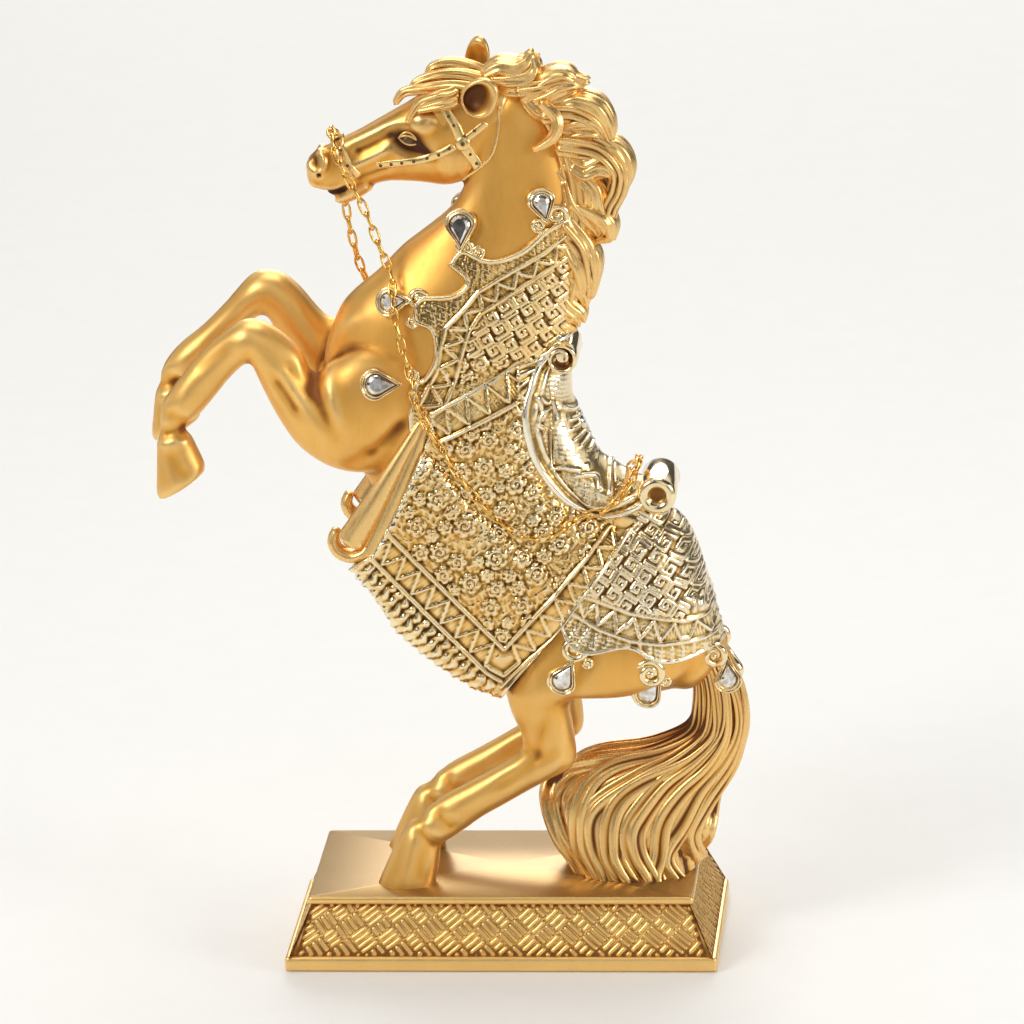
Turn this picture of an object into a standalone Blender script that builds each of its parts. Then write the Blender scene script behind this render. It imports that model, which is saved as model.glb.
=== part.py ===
import math

import bmesh
import bpy
import numpy as np
from mathutils import Matrix, Vector
from mathutils.bvhtree import BVHTree

# Sizes in metres. X runs from the horse's head to its tail, Z is up, and the
# origin is the middle of the plinth's underside.
PLINTH_LENGTH = 0.130
PLINTH_DEPTH = 0.072
PLINTH_TOP_LENGTH = 0.116
PLINTH_TOP_DEPTH = 0.062
PLINTH_HEIGHT = 0.022
PLINTH_BAND = 0.0045
PLINTH_SLAB = 0.0024
PLINTH_LIP = 0.0012
FRET_RISE = 0.0006

# The ear tip stands this far above the plinth's top, and the stations below
# are in millimetres for the height at which they were taken.
FIGURE_HEIGHT = 0.2557
STATION_HEIGHT = 255.7

TOUCH_GAP = 0.0003
GEM_LENGTH = 0.0084
GEM_WIDTH = 0.0056
GEM_RISE = 0.0012
GEM_DEPTH = 0.0016
BEZEL_WALL = 0.0011
BEZEL_RISE = 0.0016
BEZEL_ROOT = 0.0040

LINK_PITCH = 0.0044
LINK_WIDTH = 0.0031
LINK_WIRE = 0.00050
LINK_BITE = 0.00010

SKIN_VOXEL = 0.0009
SKIN_TRIANGLES = 3600

SCALE = FIGURE_HEIGHT / STATION_HEIGHT

# Each row: upper or front contour point (x, z), lower or rear contour point
# (x, z), distance from the middle plane, half width across.
TORSO = [
    (-50, 158, -50, 147, 0, 9),
    (-41, 167, -45, 134, 0, 16),
    (-12, 172, -36, 118, 0, 19),
    (14, 164, -29, 103, 0, 20),
    (19, 135, -17, 81, 0, 20.5),
    (35, 114, 1, 67, 0, 21),
    (53, 109, 20, 56, 0, 20.5),
    (61, 89, 40, 55, 0, 18.5),
    (65.5, 72, 52, 57, 0, 12),
]
NECK = [
    (5.8, 243, -5.5, 215, 0, 7.6),
    (17.4, 235, -11.6, 205, 0, 8.4),
    (23.4, 221, -19.3, 199, 0, 9.4),
    (25.5, 207, -26.3, 193.8, 0, 11),
    (25.2, 191.9, -33, 187, 0, 13.5),
    (22.7, 174, -45, 176, 0, 16.5),
    (18, 158, -51, 160, 0, 18),
]
HEAD = [
    (5.5, 243, 1.5, 224.5, 0, 7.4),
    (-9.0, 243.2, -3.0, 216.0, 0, 8.8),
    (-16.5, 241.3, -11.4, 212.9, 0, 9.0),
    (-23.6, 237.2, -18.8, 213.6, 0, 8.0),
    (-31.2, 232.9, -27.7, 213.9, 0, 6.4),
    (-37.8, 229.2, -34.6, 212.4, 0, 5.6),
    (-44.0, 226.2, -41.5, 210.0, 0, 5.6),
    (-49.1, 223.4, -46.8, 209.6, 0, 5.6),
    (-52.4, 219.2, -50.4, 211.6, 0, 4.4),
]
NEAR_FORELEG = [
    (-22, 168, -27, 130, -10.5, 8.5),
    (-38, 166, -37, 127.5, -12.5, 9.5),
    (-49, 160, -47, 129, -13, 9.8),
    (-51.5, 159, -57, 135.5, -13, 8.8),
    (-57, 167, -63.5, 145, -13, 7.6),
    (-64, 172.8, -68.4, 155.5, -13, 6.8),
    (-69.3, 175, -70.7, 161.3, -13, 6.6),
    (-74.5, 174.2, -72.4, 161.5, -13, 6.4),
    (-81.5, 169.1, -77.2, 157.1, -13, 5.2),
    (-87.7, 163.0, -83.1, 150.0, -13, 5.1),
    (-94.0, 155.3, -88.5, 143.9, -13, 5.6),
    (-98.4, 148.9, -90.3, 142.2, -13, 4.6),
    (-99.1, 141.0, -91.0, 140.4, -13, 4.2),
    (-100.1, 137.1, -89.3, 138.3, -13, 5.2),
    (-100.9, 122.4, -85.9, 130.6, -13, 6.6),
    (-100.4, 119.4, -85.7, 128.6, -13, 6.6),
]
FAR_FORELEG = [
    (-22, 168, -27, 130, 10.5, 8.5),
    (-38, 172, -37, 127.5, 12.5, 9.5),
    (-49.4, 168.1, -52, 140, 13, 9.2),
    (-59.2, 178.7, -63.4, 158, 13, 7.6),
    (-65.4, 183.0, -68.6, 168.8, 13, 6.8),
    (-72.9, 182.1, -72.6, 168.2, 13, 6.4),
    (-80.9, 173.8, -77.3, 163.0, 13, 5.2),
    (-88.4, 166.4, -84.6, 154.6, 13, 5.1),
    (-96.2, 160.0, -91.0, 149.7, 13, 5.6),
    (-101.2, 153.5, -94.1, 148.4, 13, 4.6),
    (-102.5, 148.0, -94.8, 148.0, 13, 4.2),
    (-103.6, 145.1, -93.1, 146.3, 13, 5.2),
    (-105.2, 133.0, -90.2, 139.6, 13, 6.6),
    (-104.7, 130.4, -90.0, 138.0, 13, 6.6),
]
HIND_LEG = [
    (20, 98, 62, 86, -8.5, 11),
    (9, 84, 57, 65, -11.5, 11.5),
    (3, 72, 41, 58.5, -13.5, 11),
    (1.8, 63, 26, 58.5, -15.3, 9.4),
    (3.6, 54, 21.3, 57, -16, 8.0),
    (6.2, 47.4, 22.3, 49, -16, 6.8),
    (6.2, 41.5, 22.5, 37.5, -16, 6.0),
    (-0.8, 36.6, 13.2, 31.8, -16, 5.2),
    (-9.6, 31.6, 2.6, 25.4, -16, 4.8),
    (-17, 27.6, -6.0, 20.4, -16, 4.8),
    (-22.4, 23.9, -12.4, 15.6, -16, 5.3),
    (-24.2, 20.9, -17.2, 12.8, -16, 4.7),
    (-29.0, 18.4, -18.4, 12.4, -16.3, 5.6),
    (-34.4, 8.2, -19.2, 6.0, -16.6, 6.7),
    (-38.6, -1.5, -20.8, -1.5, -16.8, 7.4),
    (-39.6, -4.5, -21.4, -4.5, -16.8, 7.4),
]
TAIL_ROOT = [
    (60, 78, 52, 70, 0, 6),
    (67.8, 67, 58, 61, 0, 6.8),
    (71.8, 57.5, 58.2, 52, 0, 7.2),
    (73.0, 47, 56.2, 41.5, 0, 8.0),
    (70.0, 35, 47, 35.5, 0, 9.2),
    (60, 25, 34, 34, 0, 10),
]
TAIL_FALL = [
    (28, 33.5, 57, 33.5, 0, 8.5),
    (18, 29.5, 60, 29, 0, 10.5),
    (13.6, 23, 58.5, 23, 0, 12.5),
    (14.8, 13, 57, 13, 0, 14),
    (18.5, 5, 57, 5, 0, 15.5),
    (22, -3, 58, -3, 0, 17),
]
# Each hair lock: stations (x, y, z), thickness in the plane of the side view,
# half width across.
TAIL_LOCKS = [
    [(61, -4, 63, 3, 3), (61.5, -6, 49, 3.2, 3), (53, -9, 38.6, 3.2, 3), (36, -10, 34.4, 3, 3),
     (21.5, -10, 29.6, 3, 3), (15.8, -11, 20.5, 3, 3), (19.5, -12.5, 10, 3, 3), (27, -15, -3, 3, 3)],
    [(66, -5, 58, 3, 3), (67.4, -7, 46, 3.2, 3), (59, -10.5, 34.6, 3.2, 3), (43, -11.5, 29.5, 3, 3),
     (29.5, -12, 25.5, 3, 3), (25.5, -13.5, 15, 3, 3), (32, -16, 5, 3, 3), (39, -17.5, -3, 4, 3)],
    [(69.6, -3, 50, 3, 3), (68, -7, 38, 3.2, 3), (58, -11, 27.5, 3.2, 3), (43, -13, 21, 3, 3),
     (38, -14.5, 13, 3, 3), (44, -17, 4, 3.4, 3), (50, -17, -3, 3.6, 3)],
    [(67.5, -4, 36, 3, 3), (60, -9, 25.5, 3, 3), (54, -12, 15, 3, 3), (54, -12.5, 6, 3, 3),
     (56, -11, -3, 3, 3)],
]
MANE_CREST = [
    (2, 0, 245, 3, 7), (12, 0, 242, 4, 7), (21, 0, 233, 5, 7), (26, 0, 220, 5.5, 7),
    (28, 0, 206, 5.5, 7), (27.5, 0, 192, 5.5, 7.5), (24.5, 0, 178, 4.5, 7.5), (20.5, 0, 166, 3, 6),
]
MANE_LOCKS = [
    [(1.9, -2, 244.3, 2.4, 5), (8.8, -1, 246.1, 2.2, 4), (13.2, 0, 247.2, 1.6, 2.6),
     (15.7, 0, 251.4, 0.7, 1)],
    [(10.1, -3, 242.1, 2.6, 5), (17.5, -3, 243.2, 2.4, 4), (23.5, -3, 244.6, 2, 3),
     (30.2, -3, 243.5, 0.9, 1.2)],
    [(13, 3, 238.5, 2.6, 5), (21.9, 3, 239.5, 2.2, 4), (28.6, 3, 238.4, 1, 1.4)],
    [(17.4, -2, 235, 4, 6), (26.2, -2, 235, 3.8, 5.6), (32.6, -2, 231.5, 3.2, 4.6),
     (36.2, -2, 225.5, 1.8, 3)],
    [(22, -2, 226, 4.4, 6.5), (32.8, -2, 223.6, 4, 6), (38.4, -2, 217.6, 3.2, 5.4), (38.3, -2, 211.4, 3, 4.6),
     (35.6, -2, 205.6, 2.8, 4), (35.0, -2, 200.5, 2.4, 3.4), (36.6, -2, 196.8, 1.4, 2)],
    [(22, 2, 218, 5, 6.8), (27.6, 2, 211, 4.6, 6.4), (30.0, 2, 203.6, 4, 5.6), (32.6, 2, 196.4, 2.2, 3.4)],
    [(22, -1, 201, 4.4, 6.8), (27.6, -1, 194, 4.2, 6.2), (29.4, -1, 186, 3.4, 5.4),
     (29.2, -1, 178.5, 1.8, 2.8)],
    [(19, 1, 192.8, 4.4, 7), (22, 1, 185.1, 4, 6.6), (23.8, 1, 177.5, 3.2, 5.4), (23.6, 1, 171.8, 1.6, 2.6)],
    [(18.5, 0, 178, 3.6, 6.8), (18.6, 0, 171, 3.2, 6.4), (22, 0, 166.6, 1.8, 3)],
]
# Locks that lie on both sides of the head and neck.
SIDE_LOCKS = [
    [(17, -6.6, 238.4, 1.6, 2), (21.4, -7.6, 233.6, 1.8, 2), (20.2, -8.6, 228.4, 1.6, 1.8),
     (14.5, -8.8, 224.6, 0.8, 1)],
    [(0.6, -3, 245.4, 2.6, 3), (-7, -4.5, 245.0, 2.8, 3), (-14, -4.5, 242.0, 2.6, 2.8),
     (-21, -4, 240.4, 2, 2.2), (-24.8, -3.6, 238.2, 1, 1.2)],
    [(-1.5, -5.8, 243.6, 2, 2.4), (-11.5, -7.6, 239.9, 2, 2.2), (-18.4, -7.6, 236.8, 1.5, 1.7),
     (-22.7, -7, 233.2, 0.8, 1)],
]
TOP_LOCKS = [
    [(2, 0, 246, 2.6, 4), (-6.8, 0, 246.2, 2.8, 4), (-11.5, 0, 245.2, 2.2, 3.4), (-16.2, 0, 242.6, 1.6, 2.4),
     (-22, 0, 239.8, 1, 1.6)],
]
EARS = [
    [(-3.2, 6.4, 241, 3.6, 2.8), (-4.0, 7.2, 246.6, 4.2, 2.4), (-3.4, 7.4, 251, 3.2, 1.8),
     (-2.2, 7.4, 254.2, 1.2, 0.9)],
    [(-3.4, -6.6, 235, 3.4, 2.6), (-1.6, -9.0, 238.6, 4.6, 2.6), (1.6, -11, 242.2, 3.4, 2.0),
     (4.6, -12, 245.0, 1.2, 0.9)],
]
# Brows: (x, y, z, radius, half width across).
BROWS = [(-17.2, -7.2, 231.8, 3.9, 2.6), (-17.2, 7.2, 231.8, 3.9, 2.6)]
CHIN = [(-36, 0, 213.4, 3, 4.4), (-40.6, 0, 210.4, 2.8, 4.2), (-44.2, 0, 208.2, 1.9, 3.2)]

# Cloth outlines in the side view, the same on both sides.
NECK_CLOTH = [
    (-11.6, 190.7), (-7.0, 195.6), (0.9, 192.8), (9.8, 195.2), (17.4, 201.2), (25, 203), (27, 192),
    (30, 166), (26, 150), (4, 139), (-22, 139), (-22.6, 155.2), (-19.3, 158.3), (-16.2, 164.1),
    (-16.9, 171.7), (-21.8, 174.5), (-20.1, 181.5), (-10.6, 182.7), (-6.4, 186.3),
]
BLANKET = [
    (-22, 142.5), (-16.5, 147.8), (6.1, 160.2), (30, 168), (46, 118), (42.9, 109.6), (26.7, 90.4),
    (13.1, 73.6), (1.6, 60.6), (-5.0, 63.6), (-16.8, 71.4), (-28.4, 82.4), (-35.5, 93.3), (-44.1, 104.2),
    (-44, 110),
]
SKIRT = [
    (18.6, 168.3), (12.4, 161), (10.0, 154), (8.2, 145.4), (10.8, 131.6), (18.8, 119.2), (29.0, 113.0),
    (44, 114.5), (52, 122), (52, 150), (32, 172),
]
CRUPPER = [
    (60, 118), (44, 108), (28.9, 92), (22.6, 79.5), (25, 75), (27.5, 73.2), (39.2, 75.0), (46.0, 71.3),
    (51.9, 69.7), (60.6, 71.3), (72, 75.0), (76, 100),
]
# The blanket's flaps hang clear of the belly: upper (x, z), lower (x, z), place
# across and half width of each section.
FLAP = [
    (-24, 140, -44.5, 107.0, -20.2, 2.2),
    (-14, 128, -39.8, 97.4, -20.4, 2.3),
    (-8, 120, -34.0, 88.4, -20.6, 2.3),
    (0, 112, -26.6, 80.4, -20.6, 2.3),
    (9, 104, -16.0, 71.2, -20.6, 2.3),
    (17, 96, -5.0, 64.0, -20.4, 2.3),
    (22, 88, 2.0, 61.4, -20.0, 2.2),
]
LAPEL = [(-18.6, -19.5, 145.5, 1.6, 1.8), (-24, -20.4, 138.5, 2.8, 2.6), (-32, -20.8, 127, 3.6, 3.2),
         (-40, -20.4, 115, 4.0, 3.4), (-44.0, -20.0, 108.8, 4.0, 3.4)]
SADDLE_SEAT = [
    (22.8, 157, 8, 150, 0, 10),
    (23.4, 147, 8, 140, 0, 12),
    (27.0, 137, 12, 126, 0, 14),
    (31.4, 130, 20, 114, 0, 15),
    (38.0, 126, 30, 106, 0, 15),
    (45.0, 124.6, 40, 104, 0, 13.5),
    (50.0, 122, 50, 104, 0, 11),
]
# Saddle rolls: (x, z, half length across, radius).
ROLLS = [(21.2, 161.2, 10.5, 5.3), (49.2, 120.2, 11.5, 5.6)]
# Scroll ornaments: (x, y, z, radius), all with one half length across.
SCROLL_REACH = 2.6
SCROLLS = [
    (23.5, -18.4, 75.7, 3.3), (46.0, -16.6, 66.9, 3.5), (64.6, -9.0, 68.6, 3.2),
    (-7.0, -13.6, 195.6, 2.6), (21.0, -10.0, 204.0, 2.8), (-20.6, -17.0, 180.8, 2.6),
    (-22.0, -17.6, 174.4, 2.2), (-22.4, -21.0, 156.0, 2.4),
]
# Gems: place on the side view (x, z), pointing angle of the tip from +X in
# degrees, size against the full stone.
SIDE_GEMS = [
    ("neck_front", -7.5, 202.6, -85, 1.0),
    ("neck_back", 16.3, 209.1, -78, 0.8),
    ("chest", -28.8, 180.2, 5, 0.85),
    ("shoulder", -32.9, 157.0, 0, 1.0),
    ("thigh", 20.0, 66.2, 60, 0.9),
    ("buttock", 44.6, 60.2, 62, 0.9),
    ("tail", 68.0, 60.6, 92, 0.85),
]
SEAT_GEM = (24.5, 139.5)

# Rein route (x, y, z); rows marked 1 lie on the casting, 0 hang free.
REIN_NEAR = [
    (-44.3, -6.6, 224.0, 1), (-41.6, -8.2, 217.6, 1), (-38.6, -9.2, 212.8, 0), (-35.6, -9.8, 206.5, 0),
    (-32.4, -11, 197.6, 0), (-29.2, -15, 186.6, 1), (-26.8, -18, 175.4, 1), (-24.0, -22, 160.0, 1),
    (-21.2, -24, 151.2, 1), (-17.4, -24, 140.6, 1), (-7.4, -24, 125.1, 1), (2.6, -24, 114.6, 1),
    (15.8, -24, 107.6, 1), (29.3, -23, 112.4, 1), (36.9, -18, 118.2, 1), (41.4, -10, 123.6, 1),
]
REIN_FAR = [
    (41.4, 10, 123.6, 1), (36.9, 18, 118.2, 1), (29.3, 23, 112.4, 1), (15.8, 24, 107.6, 1),
    (2.6, 24, 114.6, 1), (-7.4, 24, 125.1, 1), (-17.4, 24, 140.6, 1), (-22.6, 24, 151.2, 1),
    (-27.8, 22, 160.0, 1), (-35.0, 16, 171.0, 1), (-39.2, 12.5, 180.6, 0), (-41.4, 10, 190.3, 0),
    (-42.8, 9, 198.0, 0), (-44.0, 8.6, 206.8, 0), (-43.8, 8.0, 215.0, 0), (-44.3, 6.6, 224.0, 1),
]
REIN_SEAT = (42.6, 0, 126.6, 1)
REIN_NOSE = (-44.6, 0, 229.6, 1)


def place(x, y, z):
    """A station in millimetres above the plinth's top, as a point in metres."""
    return Vector((x * SCALE, y * SCALE, PLINTH_HEIGHT + z * SCALE))


def clear_scene():
    for obj in list(bpy.data.objects):
        bpy.data.objects.remove(obj, do_unlink=True)


def new_object(name, verts, faces):
    mesh = bpy.data.meshes.new(name)
    mesh.from_pydata([tuple(v) for v in verts], [], faces)
    mesh.update()
    obj = bpy.data.objects.new(name, mesh)
    bpy.context.collection.objects.link(obj)
    return obj


def outward(obj):
    """Faces of a closed body turned to point outward."""
    bm = bmesh.new()
    bm.from_mesh(obj.data)
    bmesh.ops.recalc_face_normals(bm, faces=bm.faces[:])
    if bm.calc_volume(signed=True) < 0:
        bmesh.ops.reverse_faces(bm, faces=bm.faces[:])
    bm.to_mesh(obj.data)
    bm.free()
    return obj


def ring_loft(name, rings, cap_a, cap_b):
    """A closed body through rings of points, with a pole point at each end."""
    sides = len(rings[0])
    verts = [p for ring in rings for p in ring]
    faces = []
    for k in range(len(rings) - 1):
        for i in range(sides):
            j = (i + 1) % sides
            faces.append((k * sides + i, k * sides + j, (k + 1) * sides + j, (k + 1) * sides + i))
    first, last = len(verts), len(verts) + 1
    verts += [cap_a, cap_b]
    top = (len(rings) - 1) * sides
    for i in range(sides):
        j = (i + 1) % sides
        faces.append((first, j, i))
        faces.append((last, top + i, top + j))
    return outward(new_object(name, verts, faces))


def smooth_rows(rows, steps):
    """Rows interpolated with a Catmull-Rom curve, a few steps per span."""
    data = np.array(rows, dtype=float)
    count = len(data)
    out = []
    for i in range(count - 1):
        p0, p1, p2, p3 = data[max(i - 1, 0)], data[i], data[i + 1], data[min(i + 2, count - 1)]
        for s in range(steps):
            t = s / steps
            out.append(0.5 * (2 * p1 + (p2 - p0) * t + (2 * p0 - 5 * p1 + 4 * p2 - p3) * t * t
                              + (3 * p1 - p0 - 3 * p2 + p3) * t ** 3))
    out.append(data[-1])
    return out


def section_loft(name, rows, sides=20, steps=3, mirror=1, square=2.0, dome=0.55):
    """A body through sections given by two contour points of the side view."""
    rings, centres, spans = [], [], []
    for x1, z1, x2, z2, y, width in smooth_rows(rows, steps):
        a, b = place(x1, y * mirror, z1), place(x2, y * mirror, z2)
        centre, half = (a + b) / 2, (a - b) / 2
        across = Vector((0, width * SCALE, 0))
        ring = []
        for i in range(sides):
            angle = 2 * math.pi * i / sides
            c, s = math.cos(angle), math.sin(angle)
            c = math.copysign(abs(c) ** (2 / square), c)
            s = math.copysign(abs(s) ** (2 / square), s)
            ring.append(centre + half * c + across * s)
        rings.append(ring)
        centres.append(centre)
        spans.append(min(half.length, across.length))
    end_a = (centres[0] - centres[1]).normalized() * spans[0] * dome
    end_b = (centres[-1] - centres[-2]).normalized() * spans[-1] * dome
    shoulder_a = [centres[0] + (p - centres[0]) * 0.72 + end_a * 0.72 for p in rings[0]]
    shoulder_b = [centres[-1] + (p - centres[-1]) * 0.72 + end_b * 0.72 for p in rings[-1]]
    rings = [shoulder_a] + rings + [shoulder_b]
    return ring_loft(name, rings, centres[0] + end_a, centres[-1] + end_b)


def lock_loft(name, rows, mirror=1, sides=10, steps=3):
    """A lock of hair along (x, y, z) stations with its own thickness and width."""
    stations = smooth_rows(rows, steps)
    points = [place(r[0], r[1] * mirror, r[2]) for r in stations]
    rings = []
    for k, row in enumerate(stations):
        along = (points[min(k + 1, len(points) - 1)] - points[max(k - 1, 0)]).normalized()
        across = (Vector((0, 1, 0)) - along * along.y).normalized()
        out = along.cross(across)
        thick, wide = row[3] * SCALE, row[4] * SCALE
        rings.append([points[k] + out * thick * math.cos(2 * math.pi * i / sides)
                      + across * wide * math.sin(2 * math.pi * i / sides) for i in range(sides)])
    reach = stations[-1][3] * SCALE
    cap_a = points[0] - (points[1] - points[0]).normalized() * reach
    cap_b = points[-1] + (points[-1] - points[-2]).normalized() * reach
    return ring_loft(name, rings, cap_a, cap_b)


def ball(name, x, y, z, radius, half_width):
    """A rounded lump, narrower across than in the side view."""
    bm = bmesh.new()
    bmesh.ops.create_uvsphere(bm, u_segments=14, v_segments=9, radius=1.0)
    mesh = bpy.data.meshes.new(name)
    bm.to_mesh(mesh)
    bm.free()
    mesh.transform(Matrix.Diagonal((radius * SCALE, half_width * SCALE, radius * SCALE, 1)))
    mesh.transform(Matrix.Translation(place(x, y, z)))
    obj = bpy.data.objects.new(name, mesh)
    bpy.context.collection.objects.link(obj)
    return obj


def roll_across(name, x, z, half_length, radius, y=0.0):
    """A round roll lying across the horse."""
    bm = bmesh.new()
    bmesh.ops.create_cone(bm, cap_ends=True, segments=18, radius1=radius * SCALE, radius2=radius * SCALE,
                          depth=2 * half_length * SCALE)
    mesh = bpy.data.meshes.new(name)
    bm.to_mesh(mesh)
    bm.free()
    mesh.transform(Matrix.Rotation(math.pi / 2, 4, "X"))
    mesh.transform(Matrix.Translation(place(x, y, z)))
    obj = bpy.data.objects.new(name, mesh)
    bpy.context.collection.objects.link(obj)
    return obj


def prism(name, outline, reach):
    """A side-view outline pushed through the full width of the horse."""
    near = [place(x, -reach, z) for x, z in outline]
    far = [place(x, reach, z) for x, z in outline]
    count = len(outline)
    faces = [tuple(range(count)), tuple(range(2 * count - 1, count - 1, -1))]
    for i in range(count):
        j = (i + 1) % count
        faces.append((i, j, count + j, count + i))
    return outward(new_object(name, near + far, faces))


def boolean(target, other, kind):
    """Target changed by one exact boolean with the other body."""
    mod = target.modifiers.new(kind.lower(), "BOOLEAN")
    mod.operation = kind
    mod.solver = "EXACT"
    mod.object = other
    bake(target)
    bpy.data.objects.remove(other, do_unlink=True)
    return target


def bake(obj):
    """Modifiers of an object written into its mesh."""
    graph = bpy.context.evaluated_depsgraph_get()
    mesh = bpy.data.meshes.new_from_object(obj.evaluated_get(graph))
    obj.modifiers.clear()
    obj.data = mesh
    return obj


def fused(name, parts, voxel, smooth_passes):
    """Overlapping bodies turned into one even skin."""
    bm = bmesh.new()
    for part in parts:
        bm.from_mesh(part.data)
        bpy.data.objects.remove(part, do_unlink=True)
    mesh = bpy.data.meshes.new(name)
    bm.to_mesh(mesh)
    bm.free()
    obj = bpy.data.objects.new(name, mesh)
    bpy.context.collection.objects.link(obj)
    mod = obj.modifiers.new("skin", "REMESH")
    mod.mode = "VOXEL"
    mod.voxel_size = voxel
    if smooth_passes:
        soft = obj.modifiers.new("soften", "SMOOTH")
        soft.factor = 0.5
        soft.iterations = smooth_passes
    return bake(obj)


def copy_of(obj, name):
    twin = bpy.data.objects.new(name, obj.data.copy())
    bpy.context.collection.objects.link(twin)
    return twin


def cloth_shell(body, outline, thickness, name):
    """Cloth lying on the body inside a side-view outline, this far proud of it."""
    shell = copy_of(body, name)
    normals = [v.normal.copy() for v in shell.data.vertices]
    for vert, normal in zip(shell.data.vertices, normals):
        vert.co += normal * thickness
    cutter = prism(name + "_outline", outline, 40)
    return boolean(shell, cutter, "INTERSECT")


def bare_body():
    """Body, neck, head and legs without hair or harness."""
    parts = [
        section_loft("torso", TORSO, sides=28, square=2.2),
        section_loft("neck", NECK, sides=24),
        section_loft("head", HEAD, sides=20, square=2.3, dome=0.6),
        section_loft("near_foreleg", NEAR_FORELEG, dome=0.15),
        section_loft("far_foreleg", FAR_FORELEG, dome=0.15),
        section_loft("near_hind", HIND_LEG, dome=0.15),
        section_loft("far_hind", HIND_LEG, mirror=-1, dome=0.15),
        lock_loft("chin", CHIN),
    ]
    for k, (x, y, z, radius, width) in enumerate(BROWS):
        parts.append(ball("brow%d" % k, x, y, z, radius, width))
    return fused("bare", parts, SKIN_VOXEL, 3)


def hair():
    """Mane, forelock, ears and tail."""
    parts = [
        section_loft("tail_root", TAIL_ROOT, dome=0.3),
        section_loft("tail_fall", TAIL_FALL, sides=24, dome=0.2),
        lock_loft("crest", MANE_CREST),
    ]
    for k, rows in enumerate(MANE_LOCKS + TOP_LOCKS + EARS):
        parts.append(lock_loft("lock%d" % k, rows))
    for k, rows in enumerate(SIDE_LOCKS + TAIL_LOCKS):
        for mirror in (1, -1):
            parts.append(lock_loft("pair%d_%d" % (k, mirror), rows, mirror))
    return parts


def harness(body):
    """Cloths, saddle, lapels and scroll ornaments."""
    parts = [
        cloth_shell(body, NECK_CLOTH, 1.6 * SCALE, "neck_cloth"),
        cloth_shell(body, BLANKET, 1.9 * SCALE, "blanket"),
        cloth_shell(body, SKIRT, 3.1 * SCALE, "skirt"),
        cloth_shell(body, CRUPPER, 1.7 * SCALE, "crupper"),
        section_loft("seat", SADDLE_SEAT, sides=20, dome=0.3),
    ]
    for mirror in (1, -1):
        parts.append(section_loft("flap%d" % mirror, FLAP, sides=20, mirror=mirror, square=4.0, dome=0.5))
        parts.append(lock_loft("lapel%d" % mirror, LAPEL, mirror))
        for k, (x, y, z, radius) in enumerate(SCROLLS):
            parts.append(roll_across("scroll%d_%d" % (k, mirror), x, z, SCROLL_REACH, radius, y * mirror))
    for k, (x, z, half_length, radius) in enumerate(ROLLS):
        parts.append(roll_across("roll%d" % k, x, z, half_length, radius))
    return parts


def sole_cut(body):
    """Hooves and tail foot cut flat, clear of the plinth's top."""
    bm = bmesh.new()
    bm.from_mesh(body.data)
    level = Vector((0, 0, PLINTH_HEIGHT + TOUCH_GAP))
    cut = bmesh.ops.bisect_plane(bm, geom=bm.verts[:] + bm.edges[:] + bm.faces[:], dist=1e-6,
                                 plane_co=level, plane_no=(0, 0, -1), clear_outer=True)
    rim = [e for e in cut["geom_cut"] if isinstance(e, bmesh.types.BMEdge)]
    bmesh.ops.triangle_fill(bm, use_beauty=True, edges=rim)
    bmesh.ops.recalc_face_normals(bm, faces=bm.faces[:])
    bm.to_mesh(body.data)
    bm.free()
    return body


def thinned(obj, triangles):
    """Skin reduced to about this many triangles, flat areas first."""
    count = sum(len(p.vertices) - 2 for p in obj.data.polygons)
    mod = obj.modifiers.new("thin", "DECIMATE")
    mod.ratio = min(1.0, triangles / count)
    mod.use_collapse_triangulate = True
    return bake(obj)


def tear_outline(length, width, sides):
    """A teardrop with its tip toward +X and its round end centred on the origin."""
    radius = width / 2
    tip = length - radius
    points = []
    lean = math.acos(radius / tip)
    for k in range(sides):
        angle = lean + (2 * math.pi - 2 * lean) * k / (sides - 1)
        points.append((radius * math.cos(angle), radius * math.sin(angle)))
    return [(tip, 0.0)] + points


def slab(name, outlines):
    """A closed body through outlines at rising heights."""
    sides = len(outlines[0][0])
    verts = [(x, y, height) for outline, height in outlines for x, y in outline]
    faces = [tuple(reversed(range(sides)))]
    for k in range(len(outlines) - 1):
        for i in range(sides):
            j = (i + 1) % sides
            faces.append((k * sides + i, k * sides + j, (k + 1) * sides + j, (k + 1) * sides + i))
    faces.append(tuple(range((len(outlines) - 1) * sides, len(outlines) * sides)))
    return outward(new_object(name, verts, faces))


def gem_frame(tree, origin, direction, angle):
    """Where a ray meets the casting, with the stone's own axes there."""
    hit, normal, _, _ = tree.ray_cast(origin, direction)
    outward_mean = normal.copy()
    for dx in (-1, 0, 1):
        for dz in (-1, 0, 1):
            near = origin + Vector((dx * GEM_WIDTH * 0.5, 0, dz * GEM_WIDTH * 0.5))
            spot, tilt, _, _ = tree.ray_cast(near, direction)
            if spot is not None and (spot - hit).length < GEM_LENGTH:
                outward_mean += tilt
    facing = (outward_mean.normalized() * 0.6 - direction * 0.4).normalized()
    tip = Vector((math.cos(angle), 0, math.sin(angle)))
    along = (tip - facing * tip.dot(facing)).normalized()
    across = facing.cross(along)
    turn = Matrix((along, across, facing)).transposed().to_4x4()
    return Matrix.Translation(hit + facing * 0.0002) @ turn


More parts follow.
